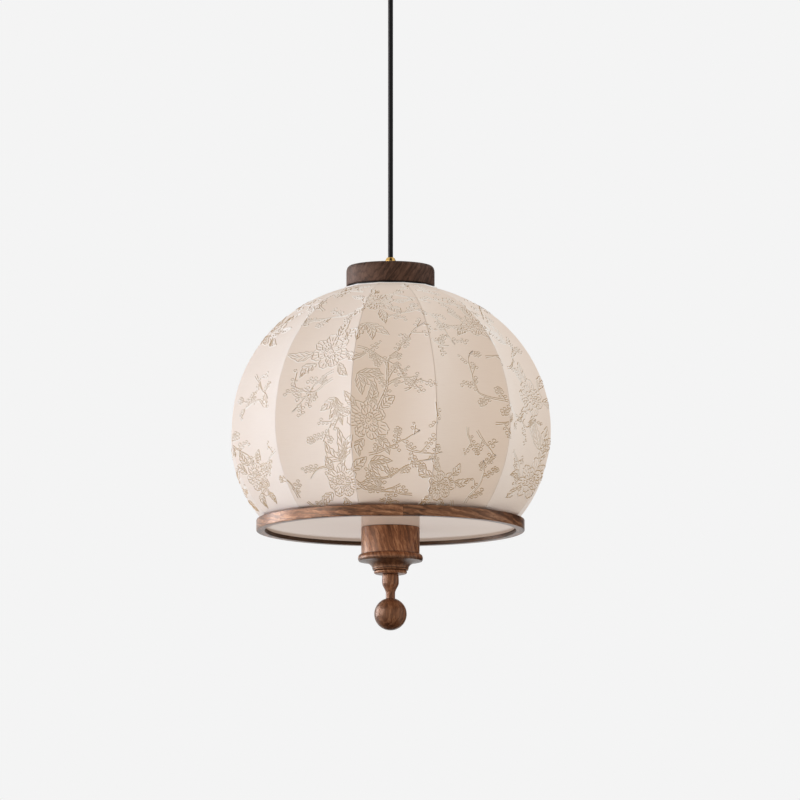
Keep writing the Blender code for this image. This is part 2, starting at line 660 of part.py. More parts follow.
def diffuser_and_column(carrier):
    """The acrylic disc under the shade and the turned column that carries it."""
    top = diffuser_top()
    bottom = top - DIFFUSER_THICKNESS
    bore = STEM_RADIUS + STEM_CLEARANCE
    rim = DIFFUSER_RADIUS
    outline = [(bore, top), (rim, top), (rim, bottom + ARRIS), (rim - ARRIS, bottom), (bore, bottom)]
    turned("diffuser", outline, RING_SIDES, "acrylic", carrier)

    head = column_top()
    foot = head - BASE_LENGTH
    half_bead = BEAD_HEIGHT / 2
    bead = (COLUMN_RADIUS, head - COLUMN_LENGTH - half_bead)
    outline = [(bore, head), (COLUMN_RADIUS - ARRIS, head), (COLUMN_RADIUS, head - ARRIS)]
    outline += arc(bead, (BEAD_RADIUS - COLUMN_RADIUS, half_bead), 90, -40, 5)
    outline += arc((COVE_WIDE, head - COVE_DROP), (COVE_WIDE - COVE_NARROW, COVE_RISE), 92, 180, 4)
    for middle, drop, rounding in SMALL_BEADS:
        outline += arc((middle, head - drop), (rounding, rounding), 70, -70, 2)
    outline += [(FOOT_WIDE, foot + FOOT_EDGE), (FOOT_NARROW, foot), (bore, foot)]
    turned("column", outline, COLUMN_SIDES, "walnut", carrier)


def neck_radius(drop):
    """A barrel at the top of the neck that eases into a slim waist."""
    ease = min(max((drop - WAIST_START) / WAIST_EASE, 0), 1)
    ease = ease * ease * (3 - 2 * ease)
    barrel = BARREL_SWELL * math.sin(math.pi * min(drop / BARREL_LENGTH, 1))
    return NECK_RADIUS + barrel - (NECK_RADIUS - NECK_WAIST) * ease


def finial(turner):
    """The neck and ball that screw onto the stem, with the brass thread pressed into them."""
    top = column_top() - BASE_LENGTH - GAP
    bore = INSERT_RADIUS + GAP
    depth = INSERT_LENGTH + GAP
    centre = top - NECK_LENGTH - BALL_RADIUS
    join = math.degrees(math.acos(NECK_WAIST / BALL_RADIUS))
    outline = [(0, top - depth), (bore, top - depth), (bore, top)]
    drops = [NECK_LENGTH * i / NECK_STEPS for i in range(NECK_STEPS)]
    outline += [(neck_radius(drop), top - drop) for drop in drops]
    outline += arc((0, centre), (BALL_RADIUS,) * 2, join, -90, BALL_STEPS)[:-1]
    outline += [(0, centre - BALL_RADIUS)]
    turned("finial", outline, FINIAL_SIDES, "walnut", turner)
    thread = STEM_RADIUS + STEM_CLEARANCE
    outline = [(thread, top), (INSERT_RADIUS, top), (INSERT_RADIUS, top - INSERT_LENGTH),
               (thread, top - INSERT_LENGTH)]
    turned("finial_insert", outline, SMALL_SIDES, "brass", turner)


def main():
    for obj in list(bpy.data.objects):
        bpy.data.objects.remove(obj)
    flex_level = -CANOPY_HEIGHT - FLEX_DEPTH
    flex = pivot("swing_side_pivot", (0, 0, flex_level))
    lamp = pivot("swing_front_pivot", (0, 0, flex_level - FLEX_LENGTH), flex)
    carrier = pivot("diffuser_slide", (0, 0, column_top()), lamp)
    turner = pivot("finial_axis", (0, 0, column_top() - BASE_LENGTH), carrier)
    bracket_and_screws()
    canopy_and_grip()
    cord_parts(flex, lamp)
    top_fitting(lamp)
    shade(lamp)
    cluster(lamp)
    diffuser_and_column(carrier)
    finial(turner)


main()
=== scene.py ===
"""Looks of a gored globe pendant lamp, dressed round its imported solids.

Metres, +Z up. The origin is on the ceiling, the lamp hangs along -Z, and azimuths run from the
front (-Y) towards +X.
"""

import json
import math
import random

import bmesh
import bpy
import numpy as np
from mathutils import Matrix, Vector


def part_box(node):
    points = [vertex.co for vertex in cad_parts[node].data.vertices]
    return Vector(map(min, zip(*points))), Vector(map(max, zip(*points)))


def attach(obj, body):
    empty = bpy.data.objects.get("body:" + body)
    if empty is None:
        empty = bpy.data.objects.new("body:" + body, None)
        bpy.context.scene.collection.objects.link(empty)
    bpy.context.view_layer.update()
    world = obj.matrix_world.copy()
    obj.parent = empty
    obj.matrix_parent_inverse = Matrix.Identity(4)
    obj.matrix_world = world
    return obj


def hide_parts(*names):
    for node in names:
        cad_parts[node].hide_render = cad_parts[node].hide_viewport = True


MM = 0.001
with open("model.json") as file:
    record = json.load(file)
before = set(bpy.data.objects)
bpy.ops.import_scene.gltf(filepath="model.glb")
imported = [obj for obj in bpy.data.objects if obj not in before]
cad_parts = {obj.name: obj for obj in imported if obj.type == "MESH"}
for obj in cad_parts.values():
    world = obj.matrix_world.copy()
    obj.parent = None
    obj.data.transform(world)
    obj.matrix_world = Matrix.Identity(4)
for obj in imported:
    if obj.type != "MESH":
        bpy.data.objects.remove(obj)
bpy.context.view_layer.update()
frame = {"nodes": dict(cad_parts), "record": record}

# Camera: a long lens, a little below the lamp, with its angles in degrees
VIEW_AZIMUTH = -1.2
VIEW_ELEVATION = -7.4
VIEW_DISTANCE = 14.0
VIEW_WIDTH = 1.0  # metres across the picture, at the lamp
VIEW_CENTRE = Vector((0.0119, 0, -0.5605))
SENSOR = 36.0

# Stage: the floor is so far down that a view from below is still taken from above it
FLOOR_LEVEL = -16.0
FLOOR_SIZE = 210.0
PALE = (0.905, 0.905, 0.905, 1)  # the plain background

# Levels and sizes read from the solids
CAP_LOW, CAP_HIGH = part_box("cap")
RING_LOW, RING_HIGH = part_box("walnut_ring")
CANOPY_LOW, CANOPY_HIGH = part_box("ceiling_canopy")
DIFFUSER_LOW, DIFFUSER_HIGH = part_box("diffuser")
COLUMN_LOW, COLUMN_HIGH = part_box("column")
FINIAL_LOW, FINIAL_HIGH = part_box("finial")
LAMP_GRIP_LOW, LAMP_GRIP_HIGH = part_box("lamp_grip")
CEILING_GRIP_LOW, CEILING_GRIP_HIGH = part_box("ceiling_grip")
CORD_LOW, CORD_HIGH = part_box("cord")
FLEX_LOW, FLEX_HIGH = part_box("cord_flex")
ANCHOR_LOW, ANCHOR_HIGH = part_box("cord_anchor")
PANEL_LOW, PANEL_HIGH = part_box("shade_panel_01")

LATHE_SIDES = 128
FINIAL_SIDES = 96
SMALL_SIDES = 48
SHARP = math.radians(35)  # an edge that turns further than this stays crisp
HOLD = 0.4 * MM  # from a corner to the extra points that keep the flats beside it flat
BORE = 5.4 * MM  # clearance hole for the stem
SOLID_EDGE = 0.25 * MM  # bevel on the solids that stay as they are

# Shade: its ribs follow two quarter ellipses that meet at the widest level
GORES = 12
HALF_GORE = math.pi / GORES
RIB_RADIUS = 206 * MM
SHADE_MIDDLE = CAP_HIGH.z - 212.7 * MM
RISE_ABOVE = 191.5 * MM
RISE_BELOW = 171.6 * MM
GORE_SAG = 10 * MM  # how deep the cloth is drawn in between the ribs, more than its plain solids are
EDGE_SAG = 0.02  # keeps a little of that at the upper and lower edges
SEAM_GAP = 0.25 * MM
SEAM_ROUND = 1.6 * MM  # how far from the seam the cloth starts to turn in
SEAM_TURN = 0.5 * MM  # how deep it turns in there
CLOTH = 0.8 * MM  # thickness
GORE_COLUMNS = 18
GORE_ROWS = 64

# Bound upper edge of the cloth
PIPING_RUN = 11 * MM  # from the cloth's upper edge to its piping
PIPING_RADIUS = 0.85 * MM
TAPE_RUN = 2.5 * MM  # from the tape's upper edge to the piping
TAPE = 0.25 * MM  # thickness
TAPE_SINK = 0.1 * MM  # of the tape and the piping in the cloth
BINDING_COLUMNS = 20  # on each gore

# Pattern of raised threads on the cloth
LINE_WIDTH = 2.0 * MM
LINE_HEIGHT = 0.36 * MM
LINE_SINK = 0.05 * MM  # of a thread's foot in the cloth
LINE_STEP = 2.2 * MM  # between points along a thread, at most
LINE_START = PIPING_RUN + 1.2 * MM  # run from the cap where the threads start
LINE_MARGIN = 0.5 * MM  # from their end to the cloth's lower edge
TWIG_STEP = 3 * MM
TWIG_RADIUS = 1.5 * MM  # half of the width of a branch at its root
TWIG_BUD_GAP = 0.9 * MM  # between a twig and its buds
PATTERN_SEED = 7


# Shader nodes


def node(tree, kind, inputs=None, **settings):
    """Add a shader node; an input takes a value or another node's output."""
    made = tree.nodes.new("ShaderNode" + kind)
    for key, value in settings.items():
        setattr(made, key, value)
    for key, value in (inputs or {}).items():
        socket = made.inputs[key]
        if isinstance(value, bpy.types.NodeSocket):
            tree.links.new(value, socket)
        else:
            socket.default_value = value
    return made


def principled(name, **values):
    """A new material, its node tree and its Principled shader."""
    made = bpy.data.materials.new(name)
    made.use_nodes = True
    shader = made.node_tree.nodes["Principled BSDF"]
    for key, value in values.items():
        shader.inputs[key.replace("_", " ")].default_value = value
    return made, made.node_tree, shader


def stretched(tree, vector, scale):
    """A vector scaled by a different factor along each axis."""
    return node(tree, "VectorMath", {0: vector, 1: scale}, operation="MULTIPLY").outputs["Vector"]


def noise(tree, vector, scale=1.0, detail=2.0, roughness=0.5):
    """The grey output of a noise texture."""
    values = {"Vector": vector, "Scale": scale, "Detail": detail, "Roughness": roughness}
    return node(tree, "TexNoise", values).outputs["Fac"]


def maths(tree, operation, *values):
    """The result of a Math node."""
    return node(tree, "Math", dict(enumerate(values)), operation=operation).outputs["Value"]


def ramp(tree, factor, *stops):
    """The colour of a ramp whose stops are (place, colour)."""
    made = node(tree, "ValToRGB", {"Fac": factor})
    elements = made.color_ramp.elements
    while len(elements) < len(stops):
        elements.new(0.5)
    for element, (place, colour) in zip(elements, stops):
        element.position = place
        element.color = (*colour, 1)
    return made.outputs["Color"]


def between(tree, factor, low, high, start=0.0):
    """A number that runs from low to high with a factor that runs from start to 1."""
    values = {"Value": factor, "From Min": start, "To Min": low, "To Max": high}
    return node(tree, "MapRange", values).outputs["Result"]


def tinted(tree, factor, first, second, blend="MIX"):
    """Two colours mixed by a factor. The node's colours are at sockets 6 and 7, and come out at 2."""
    values = {0: factor, 6: first, 7: second}
    return node(tree, "Mix", values, data_type="RGBA", blend_type=blend).outputs[2]


def bumped(tree, shader, height, strength, distance):
    """Raise a shader's surface by a height."""
    values = {"Height": height, "Strength": strength, "Distance": distance}
    tree.links.new(node(tree, "Bump", values).outputs["Normal"], shader.inputs["Normal"])


# Materials


def walnut(name, dark, middle, light, roughness, gloss):
    """Oiled walnut: growth rings, fibres and pores along the grain attribute's X, darkened towards near
    black as much as each point's attribute says, as tone of its own and as painted shade.

    Each noise is stretched by how many of its features fit in a metre along the fibres and across them.
    """
    material, tree, shader = principled(name, Specular_IOR_Level=gloss, Specular_Tint=(1, 0.72, 0.52, 1))
    grain = node(tree, "Attribute", attribute_name="grain").outputs["Vector"]
    sway = node(tree, "TexNoise", {"Vector": stretched(tree, grain, (7, 40, 40)), "Detail": 2.0})
    shift = stretched(tree, sway.outputs["Color"], (0, 0.012, 0.012))
    bent = node(tree, "VectorMath", {0: grain, 1: shift}, operation="ADD").outputs["Vector"]
    values = {"Vector": stretched(tree, bent, (0.1, 1, 1)), "Scale": 52.0, "Distortion": 3.0,
              "Detail": 3.0, "Detail Scale": 1.5}
    rings = node(tree, "TexWave", values, wave_type="RINGS", rings_direction="X").outputs["Fac"]
    fibres = noise(tree, stretched(tree, bent, (20, 560, 560)), detail=4.0, roughness=0.65)
    figure = noise(tree, stretched(tree, bent, (6, 75, 75)), detail=3.0)
    tone = maths(tree, "MULTIPLY", rings, 0.14)
    tone = maths(tree, "MULTIPLY_ADD", fibres, 0.6, tone)
    tone = maths(tree, "MULTIPLY_ADD", figure, 0.5, tone)
    colour = ramp(tree, tone, (0.44, dark), (0.62, middle), (0.82, light))
    pores = noise(tree, stretched(tree, bent, (110, 2300, 2300)), detail=2.0)
    pores = ramp(tree, pores, (0.30, (0.35, 0.3, 0.28)), (0.42, (1, 1, 1)))
    colour = tinted(tree, 1.0, colour, pores, "MULTIPLY")
    # tone of its own and painted shade: the attribute darkens the wood towards near black
    tone_and_shade = node(tree, "Attribute", attribute_name="tone_and_shade").outputs["Fac"]
    colour = tinted(tree, tone_and_shade, colour, (0.01, 0.004, 0.002, 1))
    tree.links.new(colour, shader.inputs["Base Color"])
    tree.links.new(between(tree, fibres, roughness + 0.08, roughness - 0.08), shader.inputs["Roughness"])
    bumped(tree, shader, fibres, 0.25, 0.4 * MM)
    return material


def cloth(name, colour, shade):
    """Woven cloth: threads along the cloth attribute's X and Y, with slubs and soft variation."""
    material, tree, shader = principled(name, Roughness=0.85, Specular_IOR_Level=0.25,
                                        Sheen_Weight=0.2, Sheen_Roughness=0.4)
    place = node(tree, "Attribute", attribute_name="cloth").outputs["Vector"]
    threads = []
    for direction in ("X", "Y"):
        values = {"Vector": place, "Scale": 340.0, "Distortion": 0.6, "Detail": 1.0}
        wave = node(tree, "TexWave", values, wave_type="BANDS", bands_direction=direction)
        threads.append(wave.outputs["Fac"])
    weave = maths(tree, "MAXIMUM", *threads)
    slubs = noise(tree, stretched(tree, place, (60, 1100, 1)), detail=3.0)
    clouds = noise(tree, stretched(tree, place, (22, 22, 1)), detail=2.0)
    blend = maths(tree, "MULTIPLY_ADD", slubs, 0.6, maths(tree, "MULTIPLY", clouds, 0.5))
    colour = ramp(tree, blend, (0.35, shade), (0.7, colour))
    tree.links.new(colour, shader.inputs["Base Color"])
    bumped(tree, shader, weave, 0.12, 0.25 * MM)
    return material


def thread(name, dark, light):
    """Raised pattern thread, with its twist in fine noise."""
    material, tree, shader = principled(name, Roughness=0.7, Sheen_Weight=0.1)
    place = node(tree, "TexCoord").outputs["Object"]
    twist = noise(tree, place, scale=900.0, detail=2.0)
    tree.links.new(ramp(tree, twist, (0.3, dark), (0.7, light)), shader.inputs["Base Color"])
    bumped(tree, shader, twist, 0.2, 0.1 * MM)
    return material


def metal(name, colour, worn, roughness, scale):
    """Metal with soft tarnish and fine brushing."""
    material, tree, shader = principled(name, Metallic=1.0)
    place = node(tree, "TexCoord").outputs["Object"]
    cloud = noise(tree, place, scale=scale, detail=4.0)
    brush = noise(tree, stretched(tree, place, (180, 180, 2600)), detail=2.0)
    tree.links.new(ramp(tree, cloud, (0.35, worn), (0.65, colour)), shader.inputs["Base Color"])
    tree.links.new(between(tree, cloud, roughness * 1.5, roughness * 0.8), shader.inputs["Roughness"])
    bumped(tree, shader, brush, 0.04, 0.05 * MM)
    return material


def plastic(name, colour, shade, roughness, scale, ior=1.45, **more):
    """Moulded plastic or rubber with a faint orange-peel surface."""
    material, tree, shader = principled(name, IOR=ior, **more)
    place = node(tree, "TexCoord").outputs["Object"]
    peel = noise(tree, place, scale=scale, detail=3.0)
    cloud = noise(tree, place, scale=scale / 30, detail=2.0)
    tree.links.new(ramp(tree, cloud, (0.3, shade), (0.7, colour)), shader.inputs["Base Color"])
    tree.links.new(between(tree, cloud, roughness + 0.05, roughness - 0.04), shader.inputs["Roughness"])
    bumped(tree, shader, peel, 0.05, 0.1 * MM)
    return material


WALNUT = walnut("walnut", (0.096, 0.03, 0.0115), (0.262, 0.097, 0.041), (0.51, 0.235, 0.113),
                roughness=0.32, gloss=0.5)
RING_WALNUT = walnut("ring_walnut", (0.03, 0.009, 0.004), (0.21, 0.078, 0.032), (0.54, 0.26, 0.13),
                     roughness=0.32, gloss=0.5)
DARK_WALNUT = walnut("dark_walnut", (0.024, 0.013, 0.009), (0.078, 0.04, 0.027), (0.142, 0.074, 0.05),
                     roughness=0.5, gloss=0.14)
FABRIC = cloth("fabric", (0.895, 0.738, 0.610), (0.865, 0.703, 0.575))
# partly a painted highlight: paler than the cloth, so that the piping shows as a bright line under the cap
BINDING_WITH_HIGHLIGHT = cloth("binding", (0.97, 0.92, 0.86), (0.95, 0.89, 0.82))
TAN_THREAD = thread("tan_thread", (0.385, 0.214, 0.074), (0.465, 0.28, 0.108))
# painted highlight: the pale side of each raised thread
HIGHLIGHT_THREAD = thread("highlight_thread", (0.94, 0.83, 0.73), (0.98, 0.89, 0.80))
BRASS = metal("brass", (0.80, 0.54, 0.18), (0.66, 0.40, 0.12), roughness=0.16, scale=60.0)
STEEL = metal("steel", (0.60, 0.60, 0.61), (0.45, 0.45, 0.46), roughness=0.32, scale=40.0)
# the glow stands for the light that comes through the diffuser
ACRYLIC = plastic("acrylic", (0.72, 0.58, 0.48), (0.70, 0.56, 0.46), 0.08, 140.0, ior=1.09,
                  Emission_Color=(1, 0.72, 0.55, 1), Emission_Strength=0.14)
JACKET = plastic("cord_jacket", (0.006, 0.0055, 0.0055), (0.004, 0.004, 0.004), 0.45, 700.0, ior=1.25)
WHITE_PLASTIC = plastic("white_plastic", (0.80, 0.80, 0.78), (0.74, 0.74, 0.71), 0.35, 500.0)
BULB_PLASTIC = plastic("bulb_plastic", (0.90, 0.89, 0.86), (0.86, 0.85, 0.81), 0.25, 300.0)


# Meshes


def points_of(mesh):
    """A mesh's points as an array."""
    places = np.empty(len(mesh.vertices) * 3)
    mesh.vertices.foreach_get("co", places)
    return places.reshape(-1, 3)


def set_vectors(mesh, name, vectors):
    """Store a vector for each point, which the materials read."""
    attribute = mesh.attributes.new(name, "FLOAT_VECTOR", "POINT")
    attribute.data.foreach_set("vector", np.asarray(vectors, np.float32).ravel())


def set_tone_and_shade(mesh, amounts):
    """Store how much each point of a wooden piece is darkened, as tone of its own and as painted shade."""
    attribute = mesh.attributes.new("tone_and_shade", "FLOAT", "POINT")
    attribute.data.foreach_set("value", np.asarray(amounts, np.float32))


def placed(name, data):
    """A new object in the scene."""
    obj = bpy.data.objects.new(name, data)
    bpy.context.scene.collection.objects.link(obj)
    return obj


def add_piece(data, material, body, slot, *nodes):
    """Put a mesh or curve in the scene under its own name: it rides on a body, and stands for solids."""
    obj = placed(data.name, data)
    if not data.materials:
        data.materials.append(material)
    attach(obj, body)
    if nodes:
        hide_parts(*nodes)
    return obj


def arc(centre, radii, start, end, steps):
    """Points on an ellipse's arc, from one angle in degrees to another, ends included."""
    angles = [math.radians(start + (end - start) * i / steps) for i in range(steps + 1)]
    return [(centre[0] + radii[0] * math.cos(a), centre[1] + radii[1] * math.sin(a)) for a in angles]


def to_mesh(name, bm):
    """Finish a bmesh: faces out, smooth, with crisp edges where it turns sharply."""
    bmesh.ops.recalc_face_normals(bm, faces=bm.faces)
    mesh = bpy.data.meshes.new(name)
    bm.to_mesh(mesh)
    bm.free()
    mesh.shade_smooth()
    mesh.set_sharp_from_angle(angle=SHARP)
    return mesh


def held(outline):
    """An outline with a point close to each end of its long runs, so that they shade flat."""
    runs = list(zip(outline, outline[1:] + outline[:1]))
    found = []
    for start, end in runs:
        found.append(start)
        share = HOLD / math.dist(start, end)
        if share < 0.2 and start[0] + end[0] > 0:
            found += [(start[0] + (end[0] - start[0]) * s, start[1] + (end[1] - start[1]) * s)
                      for s in (share, 1 - share)]
    return found


def turned(name, outline, sides=LATHE_SIDES):
    """Turn an outline of (radius, height) points round Z: a closed loop, or open from axis to axis."""
    outline = held(outline)
    bm = bmesh.new()
    verts = [bm.verts.new((radius, 0, height)) for radius, height in outline]
    edges = [bm.edges.new(pair) for pair in zip(verts, verts[1:])]
    if outline[0][0] > 0:
        edges.append(bm.edges.new((verts[-1], verts[0])))
    bmesh.ops.spin(bm, geom=verts + edges, axis=(0, 0, 1), cent=(0, 0, 0),
                   angle=2 * math.pi, steps=sides, use_merge=True)
    bmesh.ops.remove_doubles(bm, verts=bm.verts, dist=0.001 * MM)
    bmesh.ops.dissolve_degenerate(bm, edges=bm.edges, dist=0.001 * MM)
    return to_mesh(name, bm)


def set_grain(mesh, fibre, pith):
    """Let the fibres of a turned piece run along a direction, past a pith line beside it."""
    turn = Vector(fibre).to_track_quat("X", "Z").inverted().to_matrix()
    set_vectors(mesh, "grain", points_of(mesh) @ np.array(turn).T + np.array(pith))


# Shade


def rib_table(count=800):
    """Radius, height, outward normal, sag and run along a rib, from the cap to the ring."""
    top = math.asin((PANEL_HIGH.z - SHADE_MIDDLE) / RISE_ABOVE)
    bottom = math.asin((PANEL_LOW.z - SHADE_MIDDLE) / RISE_BELOW)
    share = np.linspace(0, 1, count)
    angle = top + (bottom - top) * share
    rise = np.where(angle > 0, RISE_ABOVE, RISE_BELOW)
    radius = RIB_RADIUS * np.cos(angle)
    height = SHADE_MIDDLE + rise * np.sin(angle)
    normal = np.column_stack([np.cos(angle) / RIB_RADIUS, np.sin(angle) / rise])
    normal /= np.linalg.norm(normal, axis=1)[:, None]
    sag = GORE_SAG * radius / RIB_RADIUS * np.sqrt(np.sin(math.pi * share) + EDGE_SAG)
    run = np.concatenate([[0], np.cumsum(np.hypot(np.diff(radius), np.diff(height)))])
    return {"radius": radius, "height": height, "out": normal[:, 0], "up": normal[:, 1],
            "sag": sag, "run": run}


RIB = rib_table()
RUN_END = RIB["run"][-1]


def along_rib(key, run):
    """A column of the rib table at a run from the cap."""
    return np.interp(run, RIB["run"], RIB[key])


def shade_point(azimuth, run, lift=0.0):
    """Points of the shade at azimuths and runs down from the cap, lifted off the cloth."""
    azimuth = np.asarray(azimuth, float)
    radius = along_rib("radius", run) + lift * along_rib("out", run)
    height = along_rib("height", run) + lift * along_rib("up", run)
    middle = np.round(azimuth / (2 * HALF_GORE)) * 2 * HALF_GORE
    side = np.tan(azimuth - middle) / math.tan(HALF_GORE)
    out = radius * math.cos(HALF_GORE) - along_rib("sag", run) * (1 - side * side)
    across = radius * math.sin(HALF_GORE) * side
    return np.stack([out * np.sin(middle) + across * np.cos(middle),
                     across * np.sin(middle) - out * np.cos(middle), height], axis=-1)


def gore_columns(half):
    """Distances across a gore, close together where the cloth turns into the seams."""
    edge = SEAM_ROUND * np.array([0, 0.06, 0.2, 0.45, 0.75])
    inner = half - SEAM_ROUND
    return np.concatenate([-half + edge, np.linspace(-inner, inner, GORE_COLUMNS + 1), half - edge[::-1]])


def gore(index):
    """One sewn panel, drawn in between its ribs, whose long edges turn into the seams."""
    middle = 2 * HALF_GORE * index
    rows, flat = [], []
    for run in np.linspace(0, RUN_END, GORE_ROWS + 1):
        radius = along_rib("radius", run)
        half = radius * math.sin(HALF_GORE) - SEAM_GAP / 2
        across = gore_columns(half)
        angle = np.arctan(across / (radius * math.cos(HALF_GORE)))
        near = np.clip((np.abs(across) - half + SEAM_ROUND) / SEAM_ROUND, 0, 1)
        turn = SEAM_TURN * (1 - np.sqrt(1 - near ** 2))
        # the limit keeps a column inside its own gore, where rounding would put it in the next one
        angle = np.clip(angle, -HALF_GORE + 1e-6, HALF_GORE - 1e-6)
        rows.append(shade_point(middle + angle, run, -turn))
        flat.append(np.column_stack([across, np.full_like(across, run), np.full_like(across, index)]))
    wide = len(rows[0])
    faces = []
    for j in range(GORE_ROWS):
        for i in range(wide - 1):
            first = j * wide + i
            faces.append((first, first + wide, first + wide + 1, first + 1))
    mesh = bpy.data.meshes.new(f"gore_{index + 1:02d}")
    mesh.from_pydata(np.concatenate(rows).tolist(), [], faces)
    mesh.shade_smooth()
    set_vectors(mesh, "cloth", np.concatenate(flat))
    obj = add_piece(mesh, FABRIC, "lamp", "fabric", f"shade_panel_{index + 1:02d}")
    thickness = obj.modifiers.new("Cloth", "SOLIDIFY")
    thickness.thickness = CLOTH
    thickness.offset = -1
    return obj


def binding():
    """The bound upper edge of the cloth. Its tape and piping are paler than the cloth, partly as their own
    colour and partly as a painted highlight, so the piping shows as a pale line under the cap.
    """
    start = PIPING_RUN - TAPE_RUN
    section = [(start, -TAPE_SINK), (start, TAPE)]
    section += arc((PIPING_RUN, PIPING_RADIUS - TAPE_SINK), (PIPING_RADIUS, PIPING_RADIUS), 200, -90, 10)
    count = BINDING_COLUMNS * GORES
    azimuth = (np.arange(count) + 0.5) / count * 2 * math.pi
    bm = bmesh.new()
    loops = []
    for run, height in section:
        places = shade_point(azimuth, np.full(count, run), height)
        loops.append([bm.verts.new(place) for place in places])
    for one, two in zip(loops, loops[1:] + loops[:1]):
        for i in range(count):
            bm.faces.new((one[i - 1], one[i], two[i], two[i - 1]))
    mesh = to_mesh("shade_binding", bm)
    x, y, z = points_of(mesh).T
    turn = np.arctan2(x, -y)
    wide = 52 * MM  # about the binding's radius
    set_vectors(mesh, "cloth", np.column_stack([turn * wide, z, 0 * turn]))
    add_piece(mesh, BINDING_WITH_HIGHLIGHT, "lamp", "fabric")


# Pattern: strokes are drawn flat as arrays of (x, y), and laid on the shade as (azimuth, run)


def polar(radius, angle):
    """Flat points at radii and angles."""
    return np.column_stack([radius * np.cos(angle), radius * np.sin(angle)])


def peony(radius, rng):
    """A flat flower: rows of scalloped petals round a curled heart."""
    turn = np.linspace(0, 2.6 * math.pi, 20)
    curl = radius * (0.04 + 0.14 * turn / turn[-1])
    strokes = [polar(curl, turn)]
    inner = 0.2 * radius
    for share, count in ((0.45, 4), (0.74, 5), (1.06, 7)):
        first = rng.uniform(0, 2 * math.pi)
        for k in range(count):
            outer = share * radius * rng.uniform(0.86, 1.12)
            start = first + 2 * math.pi * (k + rng.uniform(-0.12, 0.12)) / count
            wide = 2 * math.pi / count * rng.uniform(0.95, 1.12)
            t = np.linspace(0, 1, 15)
            scallop = np.sqrt(np.sin(math.pi * t)) * (1 + 0.1 * np.sin(7 * math.pi * t))
            edge = inner + (outer - inner) * scallop
            strokes.append(polar(edge, start + wide * t))
            for fold in (0.3, 0.5, 0.7):
                reach = inner + (outer - inner) * np.linspace(0.1, rng.uniform(0.5, 0.8), 4)
                angle = start + wide * (fold + 0.2 * (fold - 0.5) * np.linspace(0, 1, 4))
                strokes.append(polar(reach, angle))
        inner = share * radius * 0.88
    return strokes


def leaf(length, width, bend):
    """A flat lobed leaf along +X: a wavy outline, a midrib and side veins."""
    t = np.linspace(0, 1, 19)
    half = width / 2 * np.sin(math.pi * t ** 0.8) * (1 + 0.16 * np.sin(8 * math.pi * t))
    arch = bend * length * np.sin(math.pi * t)
    strokes = [np.column_stack([t * length, arch + half]), np.column_stack([t * length, arch - half]),
               np.column_stack([t * length, arch])[:17]]
    for start in (0.16, 0.34, 0.52, 0.70):
        tip = min(start + 0.2, 0.97)
        for side in (-0.8, 0.8):
            height = [np.interp(start, t, arch), np.interp(tip, t, arch) + side * np.interp(tip, t, half)]
            strokes.append(np.column_stack([[start * length, tip * length], height]))
    return strokes


def ring(centre, radius, points=8):
    """A small closed round stroke."""
    return centre + polar(radius, np.linspace(0, 2 * math.pi, points + 1))


def blossom(radius):
    """A flat blossom: five round petals and a dot."""
    strokes = [ring((0, 0), 0.22 * radius, 6)]
    for k in range(5):
        centre = polar(0.62 * radius, 2 * math.pi * k / 5 + 0.3)
        strokes.append(ring(centre, 0.38 * radius))
    return strokes


def laid(strokes, azimuth, run, turn=0.0):
    """Lay flat strokes on the shade round a place: right is +azimuth, up is towards the cap."""
    found = []
    for stroke in strokes:
        x = math.cos(turn) * stroke[:, 0] - math.sin(turn) * stroke[:, 1]
        y = math.sin(turn) * stroke[:, 0] + math.cos(turn) * stroke[:, 1]
        found.append(np.column_stack([azimuth + x / along_rib("radius", run - y), run - y]))
    return found


def twig(azimuth, run, heading, length, bend, rng, order=0):
    """A branch that wanders off from a place, with side twigs, buds and blossoms."""
    strokes, trail = [], []
    for _ in range(max(int(length / TWIG_STEP), 3)):
        trail.append((azimuth, run, heading))
        heading += bend * TWIG_STEP + rng.gauss(0, 0.13)
        azimuth += math.cos(heading) * TWIG_STEP / along_rib("radius", run)
        run -= math.sin(heading) * TWIG_STEP
    trail = np.array(trail)
    # a branch is drawn as two outlines that meet near its tip, and a side twig as one line
    taper = (1 - np.linspace(0, 1.15, len(trail))).clip(0)
    thick = TWIG_RADIUS * taper if order == 0 else 0 * taper
    for side in (-1, 1) if order == 0 else (1,):
        across = side * thick / along_rib("radius", trail[:, 1])
        strokes.append(np.column_stack([trail[:, 0] - across * np.sin(trail[:, 2]),
                                        trail[:, 1] - side * thick * np.cos(trail[:, 2])]))
    side = rng.choice((-1, 1))
    if order == 0:
        place = rng.randint(2, 4)
        while place < len(trail) - 1:
            spread = side * math.radians(rng.uniform(35, 65))
            reach = rng.uniform(14, 30) * MM
            strokes += twig(trail[place, 0], trail[place, 1], trail[place, 2] + spread, reach,
                            -side * rng.uniform(0, 12), rng, 1)
            place += rng.randint(3, 6)
            side = -side
        return strokes
    for place in range(1, len(trail)):
        side = -side
        away = trail[place, 2] + side * math.radians(70)
        size = rng.uniform(1.6, 2.3) * MM
        centre = polar(size + TWIG_BUD_GAP, away)
        if rng.random() < 0.75:
            strokes += laid([ring(centre, size, 7)], trail[place, 0], trail[place, 1])
    if rng.random() < 0.3:
        strokes += laid(blossom(rng.uniform(4.5, 6) * MM), trail[-1, 0], trail[-1, 1], rng.uniform(0, 6))
    return strokes


